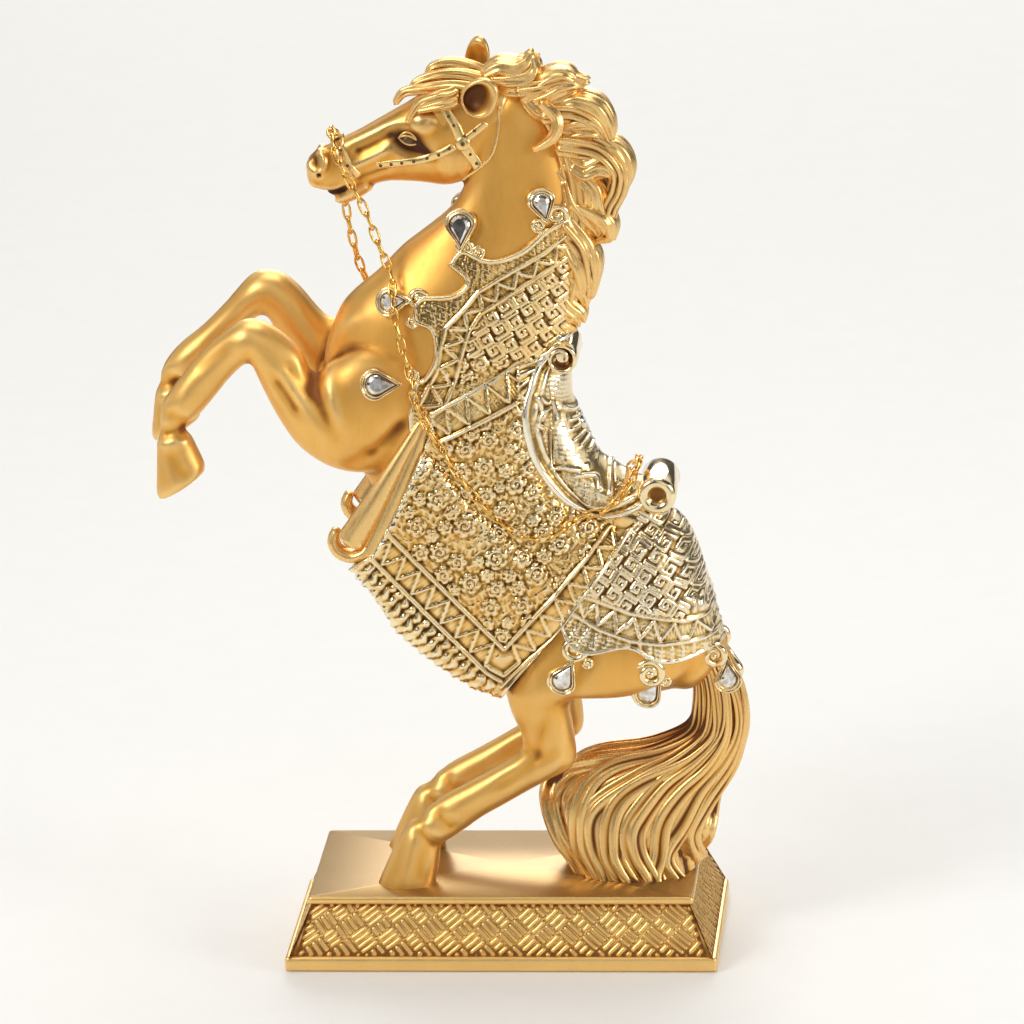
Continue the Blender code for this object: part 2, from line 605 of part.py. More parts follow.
def gem_places(body):
    """Every stone's name, place and size."""
    tree = BVHTree.FromObject(body, bpy.context.evaluated_depsgraph_get())
    out = []
    for name, x, z, degrees, share in SIDE_GEMS:
        for side, mirror in (("near", -1), ("far", 1)):
            start = place(x, mirror * 60, z)
            spot = gem_frame(tree, start, Vector((0, -mirror, 0)), math.radians(degrees))
            out.append(("gem_%s_%s" % (name, side), spot, share))
    start = place(SEAT_GEM[0] + 30, 0, SEAT_GEM[1] + 12)
    toward = (place(SEAT_GEM[0], 0, SEAT_GEM[1]) - start).normalized()
    hit, normal, _, _ = tree.ray_cast(start, toward)
    facing = Vector((normal.x, 0, normal.z)).normalized()
    along = Vector((0, 1, 0)).cross(facing)
    turn = Matrix((along, facing.cross(along), facing)).transposed().to_4x4()
    out.append(("gem_seat", Matrix.Translation(hit) @ turn, 0.8))
    return out


def bezel(spot, share):
    """The raised setting of one stone, still without its pocket."""
    length, width = GEM_LENGTH * share + 2 * BEZEL_WALL, GEM_WIDTH * share + 2 * BEZEL_WALL
    foot = tear_outline(length * 1.06, width * 1.08, 7)
    rim = tear_outline(length, width, 7)
    cup = slab("bezel", [(foot, -BEZEL_ROOT), (rim, BEZEL_RISE)])
    cup.data.transform(spot)
    return cup


def pocket(spot, share):
    """Room for one stone with the touch gap all round it."""
    length, width = GEM_LENGTH * share + 2 * TOUCH_GAP, GEM_WIDTH * share + 2 * TOUCH_GAP
    shape = tear_outline(length, width, 7)
    floor = BEZEL_RISE - GEM_DEPTH - TOUCH_GAP
    room = slab("pocket", [(shape, floor), (shape, BEZEL_RISE + 0.002)])
    room.data.transform(spot)
    return room


def gem(name, spot, share):
    """One teardrop stone: girdle, bevelled crown and flat table."""
    length, width = GEM_LENGTH * share, GEM_WIDTH * share
    girdle = tear_outline(length, width, 7)
    table = [(x * 0.55 + 0.06 * length, y * 0.55) for x, y in girdle]
    floor = BEZEL_RISE - GEM_DEPTH
    stone = slab(name, [(girdle, floor), (girdle, BEZEL_RISE), (table, BEZEL_RISE + GEM_RISE * share)])
    stone.data.transform(spot)
    return stone


def over_stones(point, reach, spots):
    """The point raised so that a link there passes over any stone below it."""
    for _, spot, share in spots:
        local = spot.inverted() @ point
        middle = GEM_LENGTH * share * 0.2
        level = BEZEL_RISE + GEM_RISE * share + reach
        aside = math.hypot(local.x - middle, local.y)
        if aside < GEM_LENGTH * share / 2 + BEZEL_WALL + reach and -reach < local.z < level:
            point = spot @ Vector((local.x, local.y, level))
    return point


def rein_route(body, spots):
    """The closed line that the chain follows, clear of the casting and stones."""
    tree = BVHTree.FromObject(body, bpy.context.evaluated_depsgraph_get())
    rows = [REIN_NOSE] + REIN_NEAR + [REIN_SEAT] + REIN_FAR
    rows = rows[-2:] + rows + rows[:2]
    fine = smooth_rows(rows, 8)[16:-17]
    points = [place(r[0], r[1], r[2]) for r in fine]
    lying = [r[3] > 0.5 for r in fine]
    reach = LINK_WIDTH / 2 + TOUCH_GAP * 2
    count = len(points)
    for _ in range(30):
        for i, point in enumerate(points):
            spot, normal, _, _ = tree.find_nearest(point)
            if lying[i] or (point - spot).dot(normal) < reach:
                point = spot + normal * reach
            points[i] = over_stones(point, reach, spots)
        points = [(points[i - 1] + points[i] * 2 + points[(i + 1) % count]) / 4 for i in range(count)]
    return points


def even_joints(points):
    """Joint points one link apart, an even number of them round the loop."""
    ring = points + [points[0]]
    walk = [0.0]
    for a, b in zip(ring, ring[1:]):
        walk.append(walk[-1] + (b - a).length)
    count = 2 * round(walk[-1] / LINK_PITCH / 2)
    xs = np.interp(np.linspace(0, walk[-1], count, endpoint=False), walk, [p.x for p in ring])
    ys = np.interp(np.linspace(0, walk[-1], count, endpoint=False), walk, [p.y for p in ring])
    zs = np.interp(np.linspace(0, walk[-1], count, endpoint=False), walk, [p.z for p in ring])
    return [Vector(p) for p in zip(xs, ys, zs)]


def link(start, end, flat):
    """Vertices and faces of one open link between two joint points."""
    along = (end - start).normalized()
    side = along.cross(flat).normalized()
    up = side.cross(along)
    middle = (start + end) / 2
    half = (end - start).length / 2 + LINK_WIRE - LINK_BITE / 2
    wide = LINK_WIDTH / 2 - LINK_WIRE
    path = [(half, wide), (-half, wide), (-half, -wide), (half, -wide)]
    verts = []
    for k, (u, v) in enumerate(path):
        before, after = path[k - 1], path[(k + 1) % 4]
        first = Vector((v - before[1], before[0] - u)).normalized()
        second = Vector((after[1] - v, u - after[0])).normalized()
        outer = (first + second).normalized()
        outer /= outer.dot(first)
        for turn in (0, 2 * math.pi / 3, 4 * math.pi / 3):
            flat_part = -math.cos(turn) * LINK_WIRE
            rise = math.sin(turn) * LINK_WIRE
            flat_spot = along * (u + outer.x * flat_part) + side * (v + outer.y * flat_part)
            verts.append(middle + flat_spot + up * rise)
    faces = []
    for k in range(4):
        n = (k + 1) % 4
        for t in range(3):
            s = (t + 1) % 3
            faces.append((3 * k + t, 3 * k + s, 3 * n + s, 3 * n + t))
    return verts, faces


def carried_normals(joints):
    """A direction square to every link, carried round the loop without twist."""
    count = len(joints)
    runs = [(joints[(i + 1) % count] - joints[i]).normalized() for i in range(count)]
    normal = Vector((0, 0, 1)).cross(runs[0]).normalized()
    carried = []
    for run in runs:
        normal = (normal - run * normal.dot(run)).normalized()
        carried.append(normal)
    closing = (normal - runs[0] * normal.dot(runs[0])).normalized()
    twist = math.atan2(closing.cross(carried[0]).dot(runs[0]), closing.dot(carried[0]))
    return [Matrix.Rotation(twist * i / count, 3, run) @ n for i, (run, n) in enumerate(zip(runs, carried))]


def rein_chain(body, spots):
    """The whole chain as one body of open links, each turned a quarter from the last."""
    joints = even_joints(rein_route(body, spots))
    normals = carried_normals(joints)
    groups = []
    for parity in (0, 1):
        verts, faces = [], []
        for i in range(parity, len(joints), 2):
            start, end = joints[i], joints[(i + 1) % len(joints)]
            quarter = Matrix.Rotation(math.pi / 2 * parity, 3, end - start)
            points, quads = link(start, end, quarter @ normals[i])
            base = len(verts)
            verts += points
            faces += [tuple(base + k for k in quad) for quad in quads]
        groups.append(outward(new_object("rein_chain" if parity == 0 else "other_links", verts, faces)))
    return boolean(groups[0], groups[1], "UNION")


def side_frames():
    """Each sloping side of the plinth: middle, run, rise and outward axes."""
    out = []
    low, high = PLINTH_BAND, PLINTH_HEIGHT - PLINTH_SLAB
    long_side = (PLINTH_TOP_LENGTH, PLINTH_DEPTH, PLINTH_TOP_DEPTH)
    short_side = (PLINTH_TOP_DEPTH, PLINTH_LENGTH, PLINTH_TOP_LENGTH)
    for turn, (length, foot, head) in enumerate((long_side, short_side, long_side, short_side)):
        spin = Matrix.Rotation(turn * math.pi / 2, 3, "Z")
        bottom = Vector((0, PLINTH_LIP - foot / 2, low))
        top = Vector((0, PLINTH_LIP - head / 2, high))
        rise = (top - bottom).normalized()
        run = Vector((1, 0, 0))
        out.append((length - 2 * PLINTH_LIP, (top - bottom).length, spin @ ((bottom + top) / 2), spin @ run,
                    spin @ rise, spin @ run.cross(rise)))
    return out


def fret_bars():
    """Raised slanting bars in pairs that lean by turns, round the plinth."""
    bars = []
    for length, tall, middle, run, rise, out in side_frames():
        field = tall * 0.74
        groups = max(2, round(length / field))
        pitch = length / groups
        for g in range(groups):
            for k in (-1, 1):
                lean = math.pi / 4 if g % 2 else -math.pi / 4
                shift = k * field * 0.155
                centre = middle + run * ((g + 0.5) * pitch - length / 2)
                along = run * math.cos(lean) + rise * math.sin(lean)
                across = out.cross(along)
                half_long, half_wide = field * 0.43, field * 0.075
                spot = centre + across * shift
                verts = []
                for depth in (-FRET_RISE * 2, FRET_RISE):
                    for a, b in ((-1, -1), (1, -1), (1, 1), (-1, 1)):
                        verts.append(spot + along * a * half_long + across * b * half_wide + out * depth)
                bars.append(verts)
    verts, faces = [], []
    for bar in bars:
        base = len(verts)
        verts += bar
        for quad in ((0, 3, 2, 1), (4, 5, 6, 7), (0, 1, 5, 4), (1, 2, 6, 5), (2, 3, 7, 6), (3, 0, 4, 7)):
            faces.append(tuple(base + i for i in quad))
    return outward(new_object("fret_bars", verts, faces))


def plinth():
    """The base: lower band, sloping sides with raised bars, flat top slab."""
    foot, neck = (PLINTH_LENGTH, PLINTH_DEPTH), (PLINTH_TOP_LENGTH, PLINTH_TOP_DEPTH)
    lip = PLINTH_LIP

    def corners(size, inset):
        x, y = size[0] / 2 - inset, size[1] / 2 - inset
        return [(-x, -y), (x, -y), (x, y), (-x, y)]

    rings = [
        (corners(foot, lip / 2), 0.0),
        (corners(foot, 0.0), lip / 2),
        (corners(foot, 0.0), PLINTH_BAND),
        (corners(foot, lip), PLINTH_BAND),
        (corners(neck, lip), PLINTH_HEIGHT - PLINTH_SLAB),
        (corners(neck, 0.0), PLINTH_HEIGHT - PLINTH_SLAB),
        (corners(neck, 0.0), PLINTH_HEIGHT - lip / 2),
        (corners(neck, lip / 2), PLINTH_HEIGHT),
    ]
    base = slab("plinth", rings)
    return boolean(base, fret_bars(), "UNION")


def paint(obj, colour, metallic, roughness):
    material = bpy.data.materials.new(obj.name + "_finish")
    material.use_nodes = True
    shader = material.node_tree.nodes["Principled BSDF"]
    shader.inputs["Base Color"].default_value = (*colour, 1.0)
    shader.inputs["Metallic"].default_value = metallic
    shader.inputs["Roughness"].default_value = roughness
    obj.data.materials.clear()
    obj.data.materials.append(material)


def soften_shading(obj):
    for face in obj.data.polygons:
        face.use_smooth = True


def build():
    clear_scene()
    bare = bare_body()
    parts = hair() + harness(bare)
    horse = fused("horse", [bare] + parts, SKIN_VOXEL, 1)
    horse = sole_cut(thinned(horse, SKIN_TRIANGLES))
    spots = gem_places(horse)
    chain = rein_chain(horse, spots)
    for _, spot, share in spots:
        boolean(horse, bezel(spot, share), "UNION")
    for _, spot, share in spots:
        boolean(horse, pocket(spot, share), "DIFFERENCE")
    stones = [gem(name, spot, share) for name, spot, share in spots]
    base = plinth()
    soften_shading(horse)
    soften_shading(chain)
    paint(horse, (0.78, 0.50, 0.17), 0.85, 0.34)
    paint(base, (0.74, 0.47, 0.17), 0.85, 0.38)
    paint(chain, (0.90, 0.66, 0.25), 1.0, 0.2)
    for stone in stones:
        paint(stone, (0.80, 0.83, 0.86), 1.0, 0.08)


build()
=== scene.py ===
import math

import bmesh
import bpy
import numpy as np
from mathutils import Matrix, Vector
from mathutils.bvhtree import BVHTree


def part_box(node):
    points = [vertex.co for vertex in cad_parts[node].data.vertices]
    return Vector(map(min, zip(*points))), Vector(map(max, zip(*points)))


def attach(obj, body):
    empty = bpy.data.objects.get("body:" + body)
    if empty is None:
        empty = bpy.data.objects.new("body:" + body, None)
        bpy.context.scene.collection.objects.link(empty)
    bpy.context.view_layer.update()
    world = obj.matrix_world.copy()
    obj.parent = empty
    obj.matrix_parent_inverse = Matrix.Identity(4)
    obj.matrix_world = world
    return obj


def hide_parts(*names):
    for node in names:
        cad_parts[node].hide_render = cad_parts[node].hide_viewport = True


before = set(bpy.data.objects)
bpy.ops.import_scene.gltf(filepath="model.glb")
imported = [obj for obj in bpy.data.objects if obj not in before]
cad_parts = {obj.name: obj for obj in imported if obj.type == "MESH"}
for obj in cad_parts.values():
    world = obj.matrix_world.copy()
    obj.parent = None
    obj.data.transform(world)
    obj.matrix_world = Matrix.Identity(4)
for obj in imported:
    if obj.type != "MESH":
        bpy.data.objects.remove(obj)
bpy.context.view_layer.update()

# Shapes are worked out in millimetres above the plinth's top, X from head to
# tail, and moved to the frame's metres when a piece is made.
MM = 0.001
PLINTH_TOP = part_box("plinth")[1][2]

TORSO = [
    (-50, 158, -50, 147, 0, 9),
    (-41, 167, -45, 134, 0, 16),
    (-12, 172, -36, 118, 0, 19),
    (14, 164, -29, 103, 0, 20),
    (19, 135, -17, 81, 0, 20.5),
    (35, 114, 1, 67, 0, 21),
    (53, 109, 20, 56, 0, 20.5),
    (61, 89, 40, 55, 0, 18.5),
    (65.5, 72, 52, 57, 0, 12),
]
NECK = [
    (5.8, 243, -5.5, 215, 0, 7.6),
    (17.4, 235, -11.6, 205, 0, 8.4),
    (23.4, 221, -19.3, 199, 0, 9.4),
    (25.5, 207, -26.3, 193.8, 0, 11),
    (25.2, 191.9, -33, 187, 0, 13.5),
    (22.7, 174, -45, 176, 0, 16.5),
    (18, 158, -51, 160, 0, 18),
]
HEAD = [
    (5.5, 243, 1.5, 224.5, 0, 7.4),
    (-9.0, 243.2, -3.0, 216.0, 0, 8.8),
    (-16.5, 241.3, -11.4, 212.9, 0, 9.0),
    (-23.6, 237.2, -18.8, 213.6, 0, 8.0),
    (-31.2, 232.9, -27.7, 213.9, 0, 6.4),
    (-37.8, 229.2, -34.6, 212.4, 0, 5.6),
    (-44.0, 226.2, -41.5, 210.0, 0, 5.6),
    (-49.1, 223.4, -46.8, 209.6, 0, 5.6),
    (-52.4, 219.2, -50.4, 211.6, 0, 4.4),
]
NEAR_FORELEG = [
    (-22, 168, -27, 130, -10.5, 8.5),
    (-38, 166, -37, 127.5, -12.5, 9.5),
    (-49, 160, -47, 129, -13, 9.8),
    (-51.5, 159, -57, 135.5, -13, 8.8),
    (-57, 167, -63.5, 145, -13, 7.6),
    (-64, 172.8, -68.4, 155.5, -13, 6.8),
    (-69.3, 175, -70.7, 161.3, -13, 6.6),
    (-74.5, 174.2, -72.4, 161.5, -13, 6.4),
    (-81.5, 169.1, -77.2, 157.1, -13, 5.2),
    (-87.7, 163.0, -83.1, 150.0, -13, 5.1),
    (-94.0, 155.3, -88.5, 143.9, -13, 5.6),
    (-98.4, 148.9, -90.3, 142.2, -13, 4.6),
    (-99.1, 141.0, -91.0, 140.4, -13, 4.2),
    (-100.1, 137.1, -89.3, 138.3, -13, 5.2),
    (-100.9, 122.4, -85.9, 130.6, -13, 6.6),
    (-100.4, 119.4, -85.7, 128.6, -13, 6.6),
]
FAR_FORELEG = [
    (-22, 168, -27, 130, 10.5, 8.5),
    (-38, 172, -37, 127.5, 12.5, 9.5),
    (-49.4, 168.1, -52, 140, 13, 9.2),
    (-59.2, 178.7, -63.4, 158, 13, 7.6),
    (-65.4, 183.0, -68.6, 168.8, 13, 6.8),
    (-72.9, 182.1, -72.6, 168.2, 13, 6.4),
    (-80.9, 173.8, -77.3, 163.0, 13, 5.2),
    (-88.4, 166.4, -84.6, 154.6, 13, 5.1),
    (-96.2, 160.0, -91.0, 149.7, 13, 5.6),
    (-101.2, 153.5, -94.1, 148.4, 13, 4.6),
    (-102.5, 148.0, -94.8, 148.0, 13, 4.2),
    (-103.6, 145.1, -93.1, 146.3, 13, 5.2),
    (-105.2, 133.0, -90.2, 139.6, 13, 6.6),
    (-104.7, 130.4, -90.0, 138.0, 13, 6.6),
]
HIND_LEG = [
    (20, 98, 62, 86, -8.5, 11),
    (9, 84, 57, 65, -11.5, 11.5),
    (3, 72, 41, 58.5, -13.5, 11),
    (1.8, 63, 26, 58.5, -15.3, 9.4),
    (3.6, 54, 21.3, 57, -16, 8.0),
    (6.2, 47.4, 22.3, 49, -16, 6.8),
    (6.2, 41.5, 22.5, 37.5, -16, 6.0),
    (-0.8, 36.6, 13.2, 31.8, -16, 5.2),
    (-9.6, 31.6, 2.6, 25.4, -16, 4.8),
    (-17, 27.6, -6.0, 20.4, -16, 4.8),
    (-22.4, 23.9, -12.4, 15.6, -16, 5.3),
    (-24.2, 20.9, -17.2, 12.8, -16, 4.7),
    (-29.0, 18.4, -18.4, 12.4, -16.3, 5.6),
    (-34.4, 8.2, -19.2, 6.0, -16.6, 6.7),
    (-38.6, -1.5, -20.8, -1.5, -16.8, 7.4),
    (-39.6, -4.5, -21.4, -4.5, -16.8, 7.4),
]
MANE_CREST = [
    (2, 0, 245, 3, 7), (12, 0, 242, 4, 7), (21, 0, 233, 5, 7), (26, 0, 220, 5.5, 7),
    (28, 0, 206, 5.5, 7), (27.5, 0, 192, 5.5, 7.5), (24.5, 0, 178, 4.5, 7.5), (20.5, 0, 166, 3, 6),
]
MANE_LOCKS = [
    [(1.9, -2, 244.3, 2.4, 5), (8.8, -1, 246.1, 2.2, 4), (13.2, 0, 247.2, 1.6, 2.6),
     (15.7, 0, 251.4, 0.7, 1)],
    [(10.1, -3, 242.1, 2.6, 5), (17.5, -3, 243.2, 2.4, 4), (23.5, -3, 244.6, 2, 3),
     (30.2, -3, 243.5, 0.9, 1.2)],
    [(13, 3, 238.5, 2.6, 5), (21.9, 3, 239.5, 2.2, 4), (28.6, 3, 238.4, 1, 1.4)],
    [(17.4, -2, 235, 4, 6), (26.2, -2, 235, 3.8, 5.6), (32.6, -2, 231.5, 3.2, 4.6),
     (36.2, -2, 225.5, 1.8, 3)],
    [(22, -2, 226, 4.4, 6.5), (32.8, -2, 223.6, 4, 6), (38.4, -2, 217.6, 3.2, 5.4), (38.3, -2, 211.4, 3, 4.6),
     (35.6, -2, 205.6, 2.8, 4), (35.0, -2, 200.5, 2.4, 3.4), (36.6, -2, 196.8, 1.4, 2)],
    [(22, 2, 218, 5, 6.8), (27.6, 2, 211, 4.6, 6.4), (30.0, 2, 203.6, 4, 5.6), (32.6, 2, 196.4, 2.2, 3.4)],
    [(22, -1, 201, 4.4, 6.8), (27.6, -1, 194, 4.2, 6.2), (29.4, -1, 186, 3.4, 5.4),
     (29.2, -1, 178.5, 1.8, 2.8)],
    [(19, 1, 192.8, 4.4, 7), (22, 1, 185.1, 4, 6.6), (23.8, 1, 177.5, 3.2, 5.4), (23.6, 1, 171.8, 1.6, 2.6)],
    [(18.5, 0, 178, 3.6, 6.8), (18.6, 0, 171, 3.2, 6.4), (22, 0, 166.6, 1.8, 3)],
]
SIDE_LOCK = [(17, -6.6, 238.4, 1.6, 2), (21.4, -7.6, 233.6, 1.8, 2), (20.2, -8.6, 228.4, 1.6, 1.8),
             (14.5, -8.8, 224.6, 0.8, 1)]
CHIN = [(-36, 0, 213.4, 3, 4.4), (-40.6, 0, 210.4, 2.8, 4.2), (-44.2, 0, 208.2, 1.9, 3.2)]
NECK_CLOTH = [
    (-11.6, 190.7), (-7.0, 195.6), (0.9, 192.8), (9.8, 195.2), (17.4, 201.2), (25, 203), (27, 192),
    (30, 166), (26, 150), (4, 139), (-22, 139), (-22.6, 155.2), (-19.3, 158.3), (-16.2, 164.1),
    (-16.9, 171.7), (-21.8, 174.5), (-20.1, 181.5), (-10.6, 182.7), (-6.4, 186.3),
]
BLANKET = [
    (-22, 142.5), (-16.5, 147.8), (6.1, 160.2), (30, 168), (46, 118), (42.9, 109.6), (26.7, 90.4),
    (13.1, 73.6), (1.6, 60.6), (-5.0, 63.6), (-16.8, 71.4), (-28.4, 82.4), (-35.5, 93.3), (-44.1, 104.2),
    (-44, 110),
]
SKIRT = [
    (18.6, 168.3), (12.4, 161), (10.0, 154), (8.2, 145.4), (10.8, 131.6), (18.8, 119.2), (29.0, 113.0),
    (44, 114.5), (52, 122), (52, 150), (32, 172),
]
CRUPPER = [
    (60, 118), (44, 108), (28.9, 92), (22.6, 79.5), (25, 75), (27.5, 73.2), (39.2, 75.0), (46.0, 71.3),
    (51.9, 69.7), (60.6, 71.3), (72, 75.0), (76, 100),
]
FLAP = [
    (-24, 140, -44.5, 107.0, -20.2, 2.2),
    (-14, 128, -39.8, 97.4, -20.4, 2.3),
    (-8, 120, -34.0, 88.4, -20.6, 2.3),
    (0, 112, -26.6, 80.4, -20.6, 2.3),
    (9, 104, -16.0, 71.2, -20.6, 2.3),
    (17, 96, -5.0, 64.0, -20.4, 2.3),
    (22, 88, 2.0, 61.4, -20.0, 2.2),
]
REIN_NEAR = [
    (-44.3, -6.6, 224.0, 1), (-41.6, -8.2, 217.6, 1), (-38.6, -9.2, 212.8, 0), (-35.6, -9.8, 206.5, 0),
    (-32.4, -11, 197.6, 0), (-29.2, -15, 186.6, 1), (-26.8, -18, 175.4, 1), (-24.0, -22, 160.0, 1),
    (-21.2, -24, 151.2, 1), (-17.4, -24, 140.6, 1), (-7.4, -24, 125.1, 1), (2.6, -24, 114.6, 1),
    (15.8, -24, 107.6, 1), (29.3, -23, 112.4, 1), (36.9, -18, 118.2, 1), (41.4, -10, 123.6, 1),
]
REIN_FAR = [
    (41.4, 10, 123.6, 1), (36.9, 18, 118.2, 1), (29.3, 23, 112.4, 1), (15.8, 24, 107.6, 1),
    (2.6, 24, 114.6, 1), (-7.4, 24, 125.1, 1), (-17.4, 24, 140.6, 1), (-22.6, 24, 151.2, 1),
    (-27.8, 22, 160.0, 1), (-35.0, 16, 171.0, 1), (-39.2, 12.5, 180.6, 0), (-41.4, 10, 190.3, 0),
    (-42.8, 9, 198.0, 0), (-44.0, 8.6, 206.8, 0), (-43.8, 8.0, 215.0, 0), (-44.3, 6.6, 224.0, 1),
]
REIN_SEAT = (42.6, 0, 126.6, 1)
REIN_NOSE = (-44.6, 0, 229.6, 1)

# Grain of the fused skins: body, head, and the cloths on the near and far side.
SKIN_STEP = 0.8
HEAD_STEP = 0.38
NEAR_STEP = 0.4
FAR_STEP = 0.66


def smooth_rows(rows, steps):
    """Rows interpolated with a Catmull-Rom curve, a few steps per span."""
    data = np.array(rows, dtype=float)
    before = np.vstack([data[:1], data[:-2]])
    after = np.vstack([data[2:], data[-1:]])
    p0, p1, p2, p3 = before, data[:-1], data[1:], after
    out = []
    for s in range(steps):
        t = s / steps
        out.append(0.5 * (2 * p1 + (p2 - p0) * t + (2 * p0 - 5 * p1 + 4 * p2 - p3) * t * t
                          + (3 * p1 - p0 - 3 * p2 + p3) * t ** 3))
    fine = np.stack(out, axis=1).reshape(-1, data.shape[1])
    return np.vstack([fine, data[-1:]])


def unit(vectors):
    return vectors / np.maximum(np.linalg.norm(vectors, axis=-1, keepdims=True), 1e-9)


def soft_step(values, low, high):
    t = np.clip((values - low) / (high - low), 0, 1)
    return t * t * (3 - 2 * t)


def tube(rings, start=None, end=None):
    """A closed body through rings of points, with a pole point at each end."""
    rings = np.asarray(rings, dtype=float)
    count, sides, _ = rings.shape
    i, j = np.meshgrid(np.arange(count - 1), np.arange(sides), indexing="ij")
    k = (j + 1) % sides
    quads = np.stack([i * sides + j, i * sides + k, (i + 1) * sides + k, (i + 1) * sides + j], -1).reshape(-1,
                                                                                                           4)
    start = rings[0].mean(0) if start is None else start
    end = rings[-1].mean(0) if end is None else end
    verts = np.vstack([rings.reshape(-1, 3), [start], [end]])
    ring = np.arange(sides)
    turn = (ring + 1) % sides
    first, last, top = count * sides, count * sides + 1, (count - 1) * sides
    faces = quads.tolist()
    faces += np.stack([np.full(sides, first), turn, ring], -1).tolist()
    faces += np.stack([np.full(sides, last), top + ring, top + turn], -1).tolist()
    return verts, faces


def sheet_grid(points):
    """An open patch through a grid of points."""
    points = np.asarray(points, dtype=float)
    rows, columns, _ = points.shape
    i, j = np.meshgrid(np.arange(rows - 1), np.arange(columns - 1), indexing="ij")
    quads = np.stack([i * columns + j, i * columns + j + 1, (i + 1) * columns + j + 1, (i + 1) * columns + j],
                     -1)
    return points.reshape(-1, 3), quads.reshape(-1, 4).tolist()


def section_body(rows, sides=40, steps=6, mirror=1, square=2.0, dome=0.55, strands=None):
    """A body through sections given by two contour points of the side view."""
    fine = smooth_rows(rows, steps)
    a = np.stack([fine[:, 0], fine[:, 4] * mirror, fine[:, 1]], -1)
    b = np.stack([fine[:, 2], fine[:, 4] * mirror, fine[:, 3]], -1)
    centre, half = (a + b) / 2, (a - b) / 2
    across = np.zeros_like(half)
    across[:, 1] = fine[:, 5]
    angle = 2 * np.pi * np.arange(sides) / sides
    c = np.sign(np.cos(angle)) * np.abs(np.cos(angle)) ** (2 / square)
    s = np.sign(np.sin(angle)) * np.abs(np.sin(angle)) ** (2 / square)
    rings = centre[:, None] + half[:, None] * c[None, :, None] + across[:, None] * s[None, :, None]
    if strands:
        count, depth, swirl = strands
        along = np.arange(len(fine))[:, None] / steps
        wave = np.cos(count * angle[None] + swirl * along + 1.3 * np.sin(along * 1.7))
        wave = 1 + depth * wave + depth * 0.5 * np.cos(2.3 * count * angle[None] - along * 0.9)
        rings = centre[:, None] + (rings - centre[:, None]) * wave[..., None]
    span = np.minimum(np.linalg.norm(half, axis=1), fine[:, 5])
    end_a = unit(centre[0] - centre[1]) * span[0] * dome
    end_b = unit(centre[-1] - centre[-2]) * span[-1] * dome
    caps = []
    for share in (0.35, 0.7, 0.92):
        round_share = math.sqrt(1 - share * share)
        caps.append((centre[0] + (rings[0] - centre[0]) * round_share + end_a * share,
                     centre[-1] + (rings[-1] - centre[-1]) * round_share + end_b * share))
    rings = [caps[2][0], caps[1][0], caps[0][0]] + list(rings) + [caps[0][1], caps[1][1], caps[2][1]]
    return tube(rings, centre[0] + end_a, centre[-1] + end_b)


def lock_body(rows, mirror=1, sides=22, steps=8, strands=5, groove=0.16, twist=0.6, phase=0.0):
    """A lock of hair along its stations, with strand grooves running down it."""
    fine = smooth_rows(rows, steps)
    points = fine[:, :3] * (1, mirror, 1)
    along = unit(np.gradient(points, axis=0))
    across = unit(np.array((0, 1, 0)) - along * along[:, 1:2])
    out = np.cross(along, across)
    angle = 2 * np.pi * np.arange(sides) / sides
    run = np.linspace(0, 1, len(fine))[:, None]
    wave = np.abs(np.cos(0.5 * (strands * angle[None] + twist * 6 * run + phase)))
    wave = 1 - groove + 2 * groove * wave
    thick, wide = fine[:, 3:4] * wave, fine[:, 4:5] * wave
    rings = points[:, None] + out[:, None] * (thick * np.cos(angle))[..., None]
    rings = rings + across[:, None] * (wide * np.sin(angle))[..., None]
    return tube(rings, points[0] - along[0] * fine[0, 3], points[-1] + along[-1] * fine[-1, 3] * 1.2)


def sweep(path, radius, up=(0, 1, 0), flat=1.0, sides=10, steps=4, taper=None, smooth=True):
    """A bar along a path; flat is its depth toward up against its width."""
    fine = smooth_rows(path, steps) if smooth else np.array(path, dtype=float)
    along = unit(np.gradient(fine, axis=0))
    up = np.broadcast_to(np.array(up, dtype=float), fine.shape)
    side = unit(np.cross(along, up))
    lift = np.cross(side, along)
    angle = 2 * np.pi * np.arange(sides) / sides
    run = np.linspace(0, 1, len(fine))
    size = radius * (np.ones(len(fine)) if taper is None
                     else np.interp(run, np.linspace(0, 1, len(taper)), taper))
    rings = fine[:, None] + side[:, None] * (size[:, None] * np.cos(angle))[..., None]
    rings = rings + lift[:, None] * (size[:, None] * flat * np.sin(angle))[..., None]
    return tube(rings, fine[0] - along[0] * size[0] * 0.5, fine[-1] + along[-1] * size[-1] * 0.5)


def ball_body(centre, radii, rings=12, sides=20):
    """A rounded lump with its own half size along each axis."""
    theta = np.pi * (np.arange(1, rings) / rings)[:, None]
    phi = 2 * np.pi * (np.arange(sides) / sides)[None]
    points = np.stack([np.sin(theta) * np.cos(phi), np.sin(theta) * np.sin(phi), np.cos(theta) + 0 * phi], -1)
    centre, radii = np.array(centre, dtype=float), np.array(radii, dtype=float)
    return tube(points * radii + centre, centre + radii * (0, 0, 1), centre - radii * (0, 0, 1))


def joined(chunks):
    """Several bodies as one list of points and faces."""
    points, faces, base = [], [], 0
    for verts, polys in chunks:
        points.append(verts)
        faces += [[base + i for i in face] for face in polys]
        base += len(verts)
    return np.vstack(points), faces


def raw_object(name, points, faces):
    mesh = bpy.data.meshes.new(name)
    world = np.asarray(points) * MM + (0, 0, PLINTH_TOP)
    mesh.from_pydata(world.tolist(), [], faces)
    mesh.update()
    obj = bpy.data.objects.new(name, mesh)
    bpy.context.collection.objects.link(obj)
    return obj


